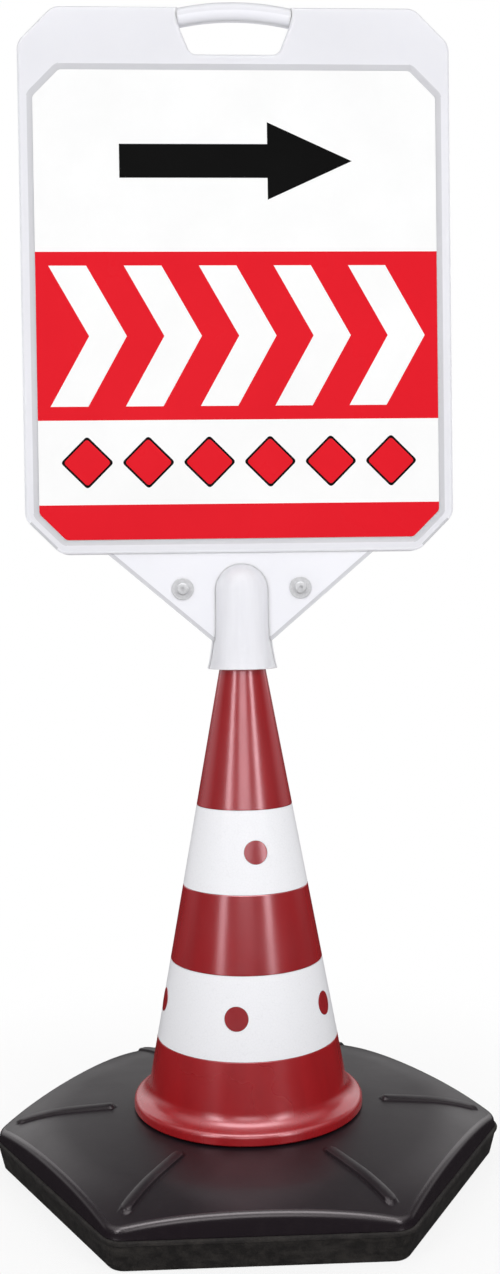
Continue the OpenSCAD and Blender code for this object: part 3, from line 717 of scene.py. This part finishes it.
class CONESIGN_OT_cone(bpy.types.Operator):
    """Models the cone with its flared foot, sleeve tracks and locking bosses"""
    bl_idname = "conesign.cone"
    bl_label = "Cone"

    LIP = 0.0006
    NECK_EDGE = 0.001
    BOSS_REACH = 0.006
    BOSS_EDGE = 0.0004
    # How far a boss stands out of the wall, and how deep it is rooted
    PROUD = 0.0004
    ROOT = 0.0022

    def execute(self, context):
        s = context.scene.cone_body
        neck_top = CONE[1].z - s.seat
        profile = flare_profile(s)
        for box in (LOWER, UPPER):
            start, end = track_span(s, box)
            profile += [(wall_radius(s, start - self.LIP), start - self.LIP),
                        (wall_radius(s, start, self.LIP / 3), start - self.LIP / 3),
                        (wall_radius(s, start, s.track), start),
                        (wall_radius(s, end, s.track), end),
                        (wall_radius(s, end, self.LIP / 3), end + self.LIP / 3),
                        (wall_radius(s, end + self.LIP), end + self.LIP)]
        profile += [(s.neck_radius, s.height), (s.neck_radius, neck_top - self.NECK_EDGE),
                    (s.neck_radius - self.NECK_EDGE, neck_top)]
        cone = turned("red_cone", [(r, z + s.seat) for r, z in profile], CONE_SIDES, True)
        for _, box, count, turn in SLEEVES:
            pins = track_rods(s, box, count, turn, s.boss, self.BOSS_REACH)
            band = wall_band(s, "band", *track_span(s, box), self.ROOT, -self.PROUD)
            carve(pins, band, "INTERSECT")
            apply_modifier(pins, "BEVEL", width=self.BOSS_EDGE, segments=2, limit_method="ANGLE",
                           angle_limit=math.radians(50))
            join(cone, pins)
        wear(cone, cone_red(s, "cone_red", gloss=1.0, smooth=0.20, rough=0.26),
             cone_red(s, "cone_foot", gloss=0.5, smooth=0.22, rough=0.30))
        paint(cone, lambda face: face.center.z < LOWER[0].z)
        settle(cone, "stand", "cone_shell", 20)
        return {"FINISHED"}


class CONESIGN_OT_sleeves(bpy.types.Operator):
    """Models the two white reflective sleeves, with holes round the bosses"""
    bl_idname = "conesign.sleeves"
    bl_label = "Reflective sleeves"

    EDGE_GAP = 0.0003
    BOSS_GAP = 0.0004
    HOLE_REACH = 0.008
    # Room under a sleeve, and its depth under the wall's surface
    UNDER = 0.0001
    SUNK = 0.00005

    def execute(self, context):
        s = context.scene.cone_body
        film = sleeve_film(s)
        for node, box, count, turn in SLEEVES:
            start, end = track_span(s, box)
            sleeve = wall_band(s, node.replace("sleeve", "film"), start + self.EDGE_GAP, end - self.EDGE_GAP,
                               s.track - self.UNDER, self.SUNK)
            carve(sleeve, track_rods(s, box, count, turn, s.boss + self.BOSS_GAP, self.HOLE_REACH))
            wear(sleeve, film)
            settle(sleeve, "stand", node)
        return {"FINISHED"}


# Sign head

HALF_TURN = Matrix.Rotation(math.pi, 4, "Z")


def panel(name, width, low, high, front):
    """A flat rectangle that looks to the front, opened in edit mode."""
    middle = (0, -front, (low + high) / 2)
    piece = started(name, bpy.ops.mesh.primitive_plane_add, size=1, location=middle,
                    rotation=(math.pi / 2, 0, 0))
    bpy.ops.transform.resize(value=(width, 1, high - low), center_override=middle)
    return piece


def soften_corners(cut, radius, segments=5):
    """Cuts the corners of the open panel and rounds the ends of the cuts."""
    select_all()
    bevel(cut, 1, "VERTICES")
    select_all()
    bevel(radius * math.tan(math.radians(22.5)), segments, "VERTICES")
    select_all()


def rounded_outline(corners, radius, steps=6):
    """Points of a convex outline, counterclockwise, with every corner rounded."""
    corners = [Vector(c) for c in corners]
    points = []
    for i, corner in enumerate(corners):
        before = (corners[i - 1] - corner).normalized()
        after = (corners[(i + 1) % len(corners)] - corner).normalized()
        half = before.angle(after) / 2
        middle = corner + (before + after).normalized() * radius / math.sin(half)
        start = corner + before * radius / math.tan(half) - middle
        for k in range(steps + 1):
            points.append(middle + Matrix.Rotation((math.pi - 2 * half) * k / steps, 2) @ start)
    return points


def cutter(name, layers):
    """A closed cutter through outlines at given depths in front of the parting plane."""
    return stacked(name, [[Vector((p.x, -depth, p.y)) for p in points] for depth, points in layers])


class CONESIGN_OT_head(bpy.types.Operator):
    """Models the two milky half shells: board, handle, gusset and clamp socket"""
    bl_idname = "conesign.head"
    bl_label = "Sign head"

    SEAM = 0.0005
    BOARD_ROUND = 0.016
    PRINT_GAP = 0.0003
    RECESS_GROW = 0.0055
    RECESS_CUT = 0.027
    RECESS_ROUND = 0.006
    RECESS_EDGE = 0.001
    # Half width of the hand opening below and above, and its depth under the board's edge
    HAND = (0.0445, 0.057, 0.047)
    HAND_ROUND = 0.009
    HAND_RIM = 0.005
    GRIP_ROUND = 0.0075
    # Width of the gusset above and below, its height over the shoulder, and its depth
    GUSSET = (0.273, 0.062, 0.0195, 0.009)
    GUSSET_ROOT = 0.005
    GUSSET_EDGE = 0.0005
    # Width and height of the gusset's raised border
    BORDER = (0.004, 0.0012)
    # Height of the socket's skirt, how far it flares, and its wall
    SKIRT = (0.055, 0.0065, 0.0035)
    SKIRT_EDGE = 0.0008
    SKIRT_STEPS = 12
    NECK_GAP = 0.0006
    # Share of the skirt's height at which the bore starts, and the small flat on the socket's top
    BORE_START = 0.9
    TOP_FLAT = (0.0012, 0.00001)
    # How far the socket's flange stands out, and its depth
    FLANGE = (0.0016, 0.004)
    # Normals between which a face is a slope of the recess, and below which it looks down
    SLOPE = (-0.97, -0.3)
    DOWN = -0.25

    def board(self, s):
        board = panel("front_half", s.width, s.low, s.high, 0)
        soften_corners(s.cut, self.BOARD_ROUND)
        extrude((0, -s.depth, 0))
        pick("edges", lambda c: near(c.y, -s.depth))
        bevel(s.edge, 5)
        pick("edges", lambda c: near(c.y, 0))
        bevel(self.SEAM, 1)
        close_mesh()
        carve(board, self.hand_opening(s))
        carve(board, self.recess(s))
        edit(board)
        bpy.ops.mesh.remove_doubles(threshold=5e-5)
        reach = self.RECESS_GROW + self.RECESS_EDGE
        pick("edges", lambda c: near(c.y, -s.depth) and abs(c.x) < PRINT[1].x + reach
             and c.z < PRINT[1].z + reach)
        bevel(self.RECESS_EDGE, 3)
        close_mesh()
        return board

    def hand_opening(self, s):
        low_half, high_half, drop = self.HAND
        low, high, top = s.high - drop, s.high - s.grip_height, s.high + 2 * PAST
        lean = math.atan((high_half - low_half) / (high - low))

        def outline(grow):
            reach = low_half + grow * (1 / math.cos(lean) - math.tan(lean))
            side = high_half + grow
            corners = ((-reach, low - grow), (reach, low - grow), (side, high), (side, top), (-side, top),
                       (-side, high))
            return rounded_outline(corners, self.HAND_ROUND + grow)

        layers = [(-PAST, outline(0))]
        for turn in range(0, 91, 15):
            a = math.radians(turn)
            layers.append((s.depth - self.HAND_RIM * (1 - math.sin(a)),
                           outline(self.HAND_RIM * (1 - math.cos(a)))))
        return cutter("opening", layers + [(s.depth + PAST, outline(self.HAND_RIM))])

    def recess(self, s):
        def outline(grow):
            around = self.PRINT_GAP + grow
            wide, low, high = PRINT[1].x + around, PRINT[0].z - around, PRINT[1].z + around
            cut = self.RECESS_CUT + grow * (2 - math.sqrt(2))
            corners = ((-wide + cut, low), (wide - cut, low), (wide, low + cut), (wide, high - cut),
                       (wide - cut, high), (-wide + cut, high), (-wide, high - cut), (-wide, low + cut))
            return rounded_outline(corners, self.RECESS_ROUND + grow, 4)

        return cutter("recess", [(s.depth - s.recess, outline(0)), (s.depth, outline(self.RECESS_GROW)),
                                 (s.depth + PAST / 2, outline(self.RECESS_GROW))])

    def board_finish(self, face):
        """Number of the finish of a face: painted shade in the recess's slopes, painted light where it looks
        down.
        """
        x, _, z = face.center
        grow = self.RECESS_GROW
        if abs(x) < PRINT[1].x + grow and PRINT[0].z - grow < z < PRINT[1].z + grow:
            if self.SLOPE[0] < face.normal.y < self.SLOPE[1]:
                return 1
        return 2 if face.normal.z < self.DOWN else 0

    def grip(self, s):
        reach = s.grip_span / 2
        bow = (reach * reach + s.bow_rise * s.bow_rise) / (2 * s.bow_rise)
        centre = s.high + s.bow_rise - bow
        middle = (0, -s.grip_depth / 2, s.high + s.bow_rise - s.grip_height / 2)
        grip = started("grip", bpy.ops.mesh.primitive_plane_add, size=1, location=middle,
                       rotation=(0, math.pi / 2, 0))
        bpy.ops.transform.resize(value=(1, s.grip_depth, s.grip_height), center_override=middle)
        pick("verts", lambda c: near(c.y, -s.grip_depth))
        bevel(self.GRIP_ROUND, 8, "VERTICES")
        select_all()
        bpy.ops.mesh.spin(steps=20, angle=math.asin(reach / bow), center=(0, 0, centre), axis=(0, 1, 0))
        pick("faces", lambda c: near(c.x, 0))
        bpy.ops.mesh.delete(type="FACE")
        close_mesh()
        apply_modifier(grip, "MIRROR", use_axis=(True, False, False), merge_threshold=2e-5)
        edit(grip)
        close_mesh()
        return grip

    def gusset(self, s):
        top, bottom, lift, deep = self.GUSSET
        cone = bpy.context.scene.cone_body
        low = cone.seat + cone.height + lift
        gusset = panel("gusset", top, low, s.low, 0)
        pick("verts", lambda c: near(c.z, low))
        bpy.ops.transform.resize(value=(bottom / top, 1, 1), center_override=(0, 0, 0))
        pick("edges", lambda c: near(c.z, s.low))
        extrude((0, 0, self.GUSSET_ROOT))
        select_all()
        bpy.ops.mesh.dissolve_limited(angle_limit=0.001)
        select_all()
        extrude((0, -deep, 0))
        pick("faces", lambda c: near(c.y, -deep))
        bpy.ops.mesh.inset(thickness=self.BORDER[0], depth=-self.BORDER[1])
        pick("edges", lambda c: near(c.y, -deep))
        bevel(self.GUSSET_EDGE, 2)
        pick("edges", lambda c: near(c.y, 0))
        bevel(self.SEAM, 1)
        close_mesh()
        return gusset

    def socket_profile(self, s, grow):
        tall, flare, wall = self.SKIRT
        edge = self.SKIRT_EDGE
        neck_top = CONE[1].z
        low = SHELL[0].z
        bend = (tall * tall + flare * flare) / (2 * flare)
        mouth = s.socket + flare
        neck = bpy.context.scene.cone_body.neck_radius + self.NECK_GAP
        profile = [(neck, low + tall * self.BORE_START), (mouth - wall, low), (mouth - edge + grow, low),
                   (mouth + grow, low + edge)]
        for i in range(1, self.SKIRT_STEPS + 1):
            z = low + tall * i / self.SKIRT_STEPS
            up = low + tall - z
            profile.append((s.socket + grow + bend - math.sqrt(bend * bend - up * up), z))
        profile += arc((grow, neck_top), s.socket, 0, 84, 12)
        return profile + [(self.TOP_FLAT[0] + grow, neck_top + s.socket - self.TOP_FLAT[1])]

    def socket(self, s):
        halves = []
        for grow, deep in ((0, None), self.FLANGE):
            half = turned("socket", self.socket_profile(s, grow), 96, True)
            edit(half)
            bpy.ops.mesh.bisect(plane_co=(0, 0, 0), plane_no=(0, 1, 0), use_fill=True, clear_outer=True)
            if deep:
                select_all()
                bpy.ops.mesh.bisect(plane_co=(0, -deep, 0), plane_no=(0, -1, 0), use_fill=True,
                                    clear_outer=True)
            close_mesh()
            halves.append(half)
        return join(*halves)

    def execute(self, context):
        s = context.scene.cone_head
        milky = shell_milky("shell_milky", s, 1).material
        # The darker copy is painted shade and the paler copy is painted light, each worn where the code
        # below puts it
        dark = shell_milky("shell_edges", s, 0.80).material
        pale = shell_milky("shell_gusset", s, 1.1).material
        board, grip, gusset, socket = self.board(s), self.grip(s), self.gusset(s), self.socket(s)
        wear(board, milky, dark, pale)
        wear(grip, milky, pale)
        wear(gusset, pale, dark)
        wear(socket, milky_socket(s).material)
        paint(board, self.board_finish)
        # Faces of the grip that look down get the paler copy: painted light
        paint(grip, lambda face: face.normal.z < self.DOWN)
        # The gusset's sunk face gets the paler copy, painted light; all its other faces, the raised border
        # among them, get the darker copy, painted shade
        paint(gusset, lambda face: not near(face.center.y, self.BORDER[1] - self.GUSSET[3]))
        front = join(board, grip, gusset, socket)
        rear = copied(front, "rear_half", HALF_TURN)
        settle(front, "sign_head", "front_shell")
        settle(rear, "sign_head", "rear_shell")
        return {"FINISHED"}


class CONESIGN_OT_prints(bpy.types.Operator):
    """Models the printed sheets: coloured fields, an arrow, chevrons and a row of lozenges"""
    bl_idname = "conesign.prints"
    bl_label = "Prints"

    FILM = 0.00012
    # Legs of the sheet's cut corners, and their rounding
    CORNER = (0.0268, 0.0057)
    # Length and thickness of the arrow's shaft, height and length of its head
    ARROW = (0.150, 0.034, 0.078, 0.086)
    # Count, pitch, thickness, height and point
    CHEVRONS = (5, 0.076, 0.038, 0.142, 0.040)
    # Count, pitch, outer and inner radius
    LOZENGES = (6, 0.062, 0.027, 0.024)

    def lay(self, piece, film):
        """Gives an open flat mark its thickness and its finish."""
        select_all()
        extrude((0, -self.FILM, 0))
        close_mesh()
        wear(piece, film)
        return piece

    def arrow(self, face, middle, film):
        shaft, thick, tall, head = self.ARROW
        piece = panel("arrow", shaft, middle - thick / 2, middle + thick / 2, face)
        bpy.ops.transform.translate(value=(-head / 2, 0, 0))
        tip = (shaft - head) / 2
        pick("edges", lambda c: near(c.x, tip))
        extrude((0, 0, 0))
        bpy.ops.transform.resize(value=(1, 1, tall / thick), center_override=(tip, -face, middle))
        extrude((head, 0, 0))
        bpy.ops.mesh.merge(type="CENTER")
        return self.lay(piece, film)

    def chevron(self, face, middle, x, film):
        _, _, thick, tall, point = self.CHEVRONS
        piece = panel("chevron", thick, middle - tall / 2, middle + tall / 2, face)
        bpy.ops.mesh.bisect(plane_co=(0, 0, middle), plane_no=(0, 0, 1))
        pick("verts", lambda c: near(c.z, middle))
        bpy.ops.transform.translate(value=(point, 0, 0))
        select_all()
        bpy.ops.transform.translate(value=(x - point / 2, 0, 0))
        return self.lay(piece, film)

    def lozenge(self, face, middle, x, radius, film):
        piece = started("lozenge", bpy.ops.mesh.primitive_circle_add, vertices=4, radius=radius,
                        location=(x, -face, middle), rotation=(math.pi / 2, 0, 0), fill_type="NGON")
        bevel(radius * 0.12, 3, "VERTICES")
        return self.lay(piece, film)

    def sheet(self, s, white, red, black):
        face = -PRINT[0].y
        wide = PRINT[1].x - PRINT[0].x
        sheet = panel("front_sheet", wide, PRINT[0].z, PRINT[1].z, -PRINT[1].y)
        soften_corners(*self.CORNER, 4)
        extrude((0, PRINT[0].y - PRINT[1].y, 0))
        for height in (s.foot_top, s.block_low, s.block_high):
            select_all()
            bpy.ops.mesh.bisect(plane_co=(0, 0, height), plane_no=(0, 0, 1))
        close_mesh()
        wear(sheet, white, red)

        def coloured(part):
            z = part.center.z
            return part.normal.y < -0.5 and (z < s.foot_top or s.block_low < z < s.block_high)

        paint(sheet, coloured)
        marks = [self.arrow(face, (s.block_high + PRINT[1].z) / 2, black)]
        count, pitch = self.CHEVRONS[:2]
        middle = (s.block_low + s.block_high) / 2
        marks += [self.chevron(face, middle, (i - (count - 1) / 2) * pitch, white) for i in range(count)]
        count, pitch, outer, inner = self.LOZENGES
        middle = (s.foot_top + s.block_low) / 2
        for i in range(count):
            x = (i - (count - 1) / 2) * pitch
            marks.append(self.lozenge(face, middle, x, outer, black))
            marks.append(self.lozenge(face + self.FILM, middle, x, inner, red))
        return join(sheet, *marks)

    def execute(self, context):
        s = context.scene.cone_print
        front = self.sheet(s, vinyl("white_sheet", s.paper_colour, 0.30),
                           vinyl("red_film", s.block_colour, 0.28), vinyl("black_film", s.mark_colour, 0.30))
        rear = copied(front, "rear_sheet", HALF_TURN)
        settle(front, "sign_head", "front_print")
        settle(rear, "sign_head", "rear_print")
        return {"FINISHED"}


class CONESIGN_OT_clamps(bpy.types.Operator):
    """Models the clamp bolts with sunk hex drives, their washers and their nuts"""
    bl_idname = "conesign.clamps"
    bl_label = "Clamp fasteners"

    # Depth of the gusset's face, on which the washers lie
    FACE = 0.0078
    # Radius and thickness, room round the bolt, and rounding
    WASHER = (0.01125, 0.0015)
    HOLE_GAP = 0.0002
    WASHER_EDGE = 0.0004
    # Radius of shank and head, height of the head, and length of the tail past the nut
    BOLT = (0.003, 0.006, 0.0039, 0.003)
    TAIL_EDGE = 0.0005
    HEAD_EDGE = 0.0002
    HEAD_ROUND = 0.0012
    HEAD_FLAT = 0.0028
    DRIVE = 0.00225
    # Width over the flats and height, room round the bolt, and easing of the corners
    NUT = (0.0099, 0.0048)
    BITE = 0.0001
    NUT_EASE = (0.0005, 0.55)

    def washer(self, low):
        outer, thick = self.WASHER
        hole = self.BOLT[0] + self.HOLE_GAP
        edge = self.WASHER_EDGE
        profile = [(hole, low), (outer - edge, low), (outer, low + edge), (outer, low + thick - edge),
                   (outer - edge, low + thick), (hole + edge, low + thick), (hole, low + thick - edge),
                   (hole, low)]
        return turned("washer", profile, 64)

    def bolt(self):
        shank, head, tall, tail = self.BOLT
        low = self.FACE + self.WASHER[1]
        end = -low - self.NUT[1] - tail
        top = low + tall
        ease = self.HEAD_ROUND
        profile = [(shank - self.TAIL_EDGE, end), (shank, end + self.TAIL_EDGE), (shank, low),
                   (head - self.HEAD_EDGE, low), (head, low + self.HEAD_EDGE)]
        profile += arc((head - ease, top - ease), ease, 0, 90, 5) + [(self.HEAD_FLAT, top)]
        bolt = turned("bolt", profile, 48, True)
        return carve(bolt, rod("drive", self.DRIVE, top - tall / 2, top + PAST, 6))

    def nut(self):
        wide, tall = self.NUT
        low = -self.FACE - self.WASHER[1] - tall
        corner = wide / 2 / math.cos(math.radians(30))
        nut = rod("nut", corner, low, low + tall, 6)
        outer = corner + self.NUT_EASE[0]
        ease = (outer - wide / 2) * self.NUT_EASE[1]
        round_form = turned("round", [(wide / 2, low), (outer, low + ease), (outer, low + tall - ease),
                                      (wide / 2, low + tall)], 46, True)
        carve(nut, round_form, "INTERSECT")
        return carve(nut, rod("bore", self.BOLT[0] + self.BITE, low - PAST, low + 2 * PAST, 32))

    def execute(self, context):
        steel = plated_steel(context.scene.cone_head)
        reach = WASHER[1].x - self.WASHER[0]
        height = (WASHER[0].z + WASHER[1].z) / 2
        places = [Matrix.Translation((x, 0, height)) @ Matrix.Rotation(math.pi / 2, 4, "X")
                  for x in (-reach, reach)]
        kinds = {
            "bolts": [self.bolt()],
            "washers": [self.washer(self.FACE), self.washer(-self.FACE - self.WASHER[1])],
            "nuts": [self.nut()],
        }
        for kind, forms in kinds.items():
            one = join(*forms)
            other = copied(one, "clamp", places[1])
            one.data.transform(places[0])
            pair = join(one, other)
            pair.name = "plated_" + kind
            pair.data.name = pair.name
            wear(pair, steel)
            settle(pair, "sign_head", "clamp_" + kind)
        return {"FINISHED"}


class CONESIGN_OT_inner(bpy.types.Operator):
    """Gives the pieces inside the base their finishes"""
    bl_idname = "conesign.inner"
    bl_label = "Inner pieces"

    def execute(self, context):
        steel = bpy.data.materials["plated_steel"]
        finishes = {"ballast_block": cast_concrete(), "cover_screws": steel, "anchor_bolts": steel,
                    "anchor_washers": steel, "anchor_nuts": steel}
        for node, finish in finishes.items():
            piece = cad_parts[node]
            piece.data.materials.clear()
            wear(piece, finish)
        return {"FINISHED"}


# Stage

class CONESIGN_OT_stage(bpy.types.Operator):
    """Sets up the camera, the pale floor, the softboxes and the fill light"""
    bl_idname = "conesign.stage"
    bl_label = "Stage"

    CAMERA = (-0.0516, -1.3274, 0.5765)
    HEADING = 2.58
    PITCH = 1.407
    ROLL = -0.786
    # Setting and share of its power, turn about the axis from the camera's side towards +X, reach,
    # height, height aimed at, size, and whether diffuse and glossy rays see it
    LAMPS = (
        ("softbox", 1, -38.6, 1.85, 1.25, 0.70, (0.34, 0.85), (True, True)),
        ("softbox", 0.14, -38.6, 1.85, 0.50, 0.45, (0.34, 0.45), (True, True)),
        ("softbox", 1.12, 38.6, 1.85, 1.25, 0.70, (0.34, 0.85), (True, True)),
        ("softbox", 0.1568, 38.6, 1.85, 0.50, 0.45, (0.34, 0.45), (True, True)),
        ("frontal", 1, 0, 2.0, 1.15, 0.65, (1.0, 0.8), (True, True)),
        ("frontal", 0.35, 0, 2.0, 0.40, 0.30, (1.0, 0.6), (True, False)),
        ("overhead", 1, 0, 0.9, 2.2, 0.1, (2.2, 0.8), (False, True)),
        ("rear", 1, -142, 1.9, 1.15, 0.6, (1.2, 1.2), (True, True)),
        ("rear", 1, 142, 1.9, 1.15, 0.6, (1.2, 1.2), (True, True)),
    )
    FLOOR_RADIUS = 1.6
    # Radii between which the floor fades, and how much of it shows there
    FADE = (0.26, 0.70, 0.16, 0)

    def camera(self, s):
        h, p, r = (math.radians(a) for a in (self.HEADING, self.PITCH, self.ROLL))
        ahead = Vector((math.sin(h) * math.cos(p), math.cos(h) * math.cos(p), -math.sin(p)))
        level = Vector((math.cos(h), -math.sin(h), 0))
        up = level.cross(ahead)
        right = level * math.cos(r) + up * math.sin(r)
        upright = up * math.cos(r) - level * math.sin(r)
        drop_selection()
        bpy.ops.object.camera_add()
        camera = bpy.context.object
        turn = Matrix((right, upright, -ahead)).transposed().to_4x4()
        camera.matrix_world = Matrix.Translation(self.CAMERA) @ turn
        camera.data.sensor_fit = "AUTO"
        camera.data.sensor_width = 36
        camera.data.lens = s.lens
        camera.data.clip_start = 0.01
        bpy.context.scene.camera = camera

    def lamp(self, s, setting, part, turn, reach, height, aim, size, rays):
        a = math.radians(turn) + math.atan2(self.CAMERA[1], self.CAMERA[0])
        place = Vector((reach * math.cos(a), reach * math.sin(a), height))
        drop_selection()
        bpy.ops.object.light_add(type="AREA", location=place)
        lamp = bpy.context.object
        lamp.data.shape = "RECTANGLE"
        lamp.data.size, lamp.data.size_y = size
        lamp.data.energy = getattr(s, setting) * part
        lamp.visible_diffuse, lamp.visible_glossy = rays
        lamp.rotation_euler = (Vector((0, 0, aim)) - place).to_track_quat("-Z", "Y").to_euler()

    def floor(self):
        floor = started("studio_floor", bpy.ops.mesh.primitive_circle_add, vertices=96,
                        radius=self.FLOOR_RADIUS, fill_type="NGON")
        bpy.ops.object.mode_set(mode="OBJECT")
        f = Finish("pale_floor", (0.93, 0.93, 0.93), 0.9)
        reach = f.add("ShaderNodeVectorMath", {0: f.place}, operation="LENGTH").outputs["Value"]
        f.wire({"Alpha": f.span(reach, *self.FADE, interpolation_type="SMOOTHSTEP")})
        wear(floor, f.material)
        floor.visible_glossy = False
        floor.visible_diffuse = False

    def world(self, s):
        world = bpy.data.worlds.new("studio")
        bpy.context.scene.world = world
        world.use_nodes = True
        world.node_tree.nodes.remove(world.node_tree.nodes["Background"])
        n = Nodes(world.node_tree, "Generated")
        axes = n.axes()
        paths = n.add("ShaderNodeLightPath").outputs
        rise = n.span(axes["Z"], -0.08, 0.22, 0.02, 1, interpolation_type="SMOOTHSTEP")
        fall = n.span(axes["Z"], 0.15, 0.50, 1, 0.15)
        depth = n.span(axes["Y"], 0, 0.6, s.front, s.back)
        wide = n.math("MULTIPLY", n.math("MULTIPLY", rise, fall), depth)
        zenith = n.span(axes["Z"], 0.4, 0.75, 0, 0.95)
        ahead = n.span(axes["Y"], 0, 0.4, 1, 0)
        glow = n.math("MAXIMUM", wide, n.math("MULTIPLY", zenith, ahead))
        bounce = n.span(axes["Z"], -1, 1, s.fill * 2.0, s.fill * 1.1)
        even, mirrored, seen = (
            n.add("ShaderNodeBackground", {"Color": (1, 1, 1, 1), "Strength": strength}).outputs[0]
            for strength in (bounce, glow, 1))
        inner = n.add("ShaderNodeMixShader", {0: paths["Is Glossy Ray"], 1: even, 2: mirrored}).outputs[0]
        direct = n.math("MAXIMUM", paths["Is Camera Ray"], paths["Is Transmission Ray"])
        outer = n.add("ShaderNodeMixShader", {0: direct, 1: inner, 2: seen}).outputs[0]
        n.plug(outer, n.tree.nodes["World Output"].inputs["Surface"])

    def execute(self, context):
        s = context.scene.cone_stage
        self.camera(s)
        self.floor()
        for row in self.LAMPS:
            self.lamp(s, *row)
        self.world(s)
        context.scene.view_settings.view_transform = "Standard"
        return {"FINISHED"}


class CONESIGN_PT_panel(bpy.types.Panel):
    """Lists the settings and the pieces of the cone sign"""
    bl_idname = "CONESIGN_PT_panel"
    bl_label = "Cone sign"
    bl_space_type = "VIEW_3D"
    bl_region_type = "UI"
    bl_category = "Cone sign"

    def draw(self, context):
        for group in GROUPS:
            column = self.layout.column(align=True)
            settings = getattr(context.scene, group)
            for name in settings.bl_rna.properties.keys():
                if name not in ("rna_type", "name"):
                    column.prop(settings, name)
        for operator in OPERATORS:
            self.layout.operator(operator.bl_idname)


GROUPS = {"cone_base": BaseSettings, "cone_body": ConeSettings, "cone_head": HeadSettings,
          "cone_print": PrintSettings, "cone_stage": StageSettings}
OPERATORS = (CONESIGN_OT_stage, CONESIGN_OT_tray, CONESIGN_OT_cover, CONESIGN_OT_cone,
             CONESIGN_OT_sleeves, CONESIGN_OT_head, CONESIGN_OT_prints, CONESIGN_OT_clamps,
             CONESIGN_OT_inner)


def register():
    for group in (*GROUPS.values(), *OPERATORS, CONESIGN_PT_panel):
        bpy.utils.register_class(group)
    for name, group in GROUPS.items():
        setattr(bpy.types.Scene, name, bpy.props.PointerProperty(type=group))


def unregister():
    for name in GROUPS:
        delattr(bpy.types.Scene, name)
    for group in (CONESIGN_PT_panel, *reversed(OPERATORS), *GROUPS.values()):
        bpy.utils.unregister_class(group)


def main():
    register()
    for operator in OPERATORS:
        area, name = operator.bl_idname.split(".")
        getattr(getattr(bpy.ops, area), name)()
    drop_selection()


if __name__ == "__main__":
    main()
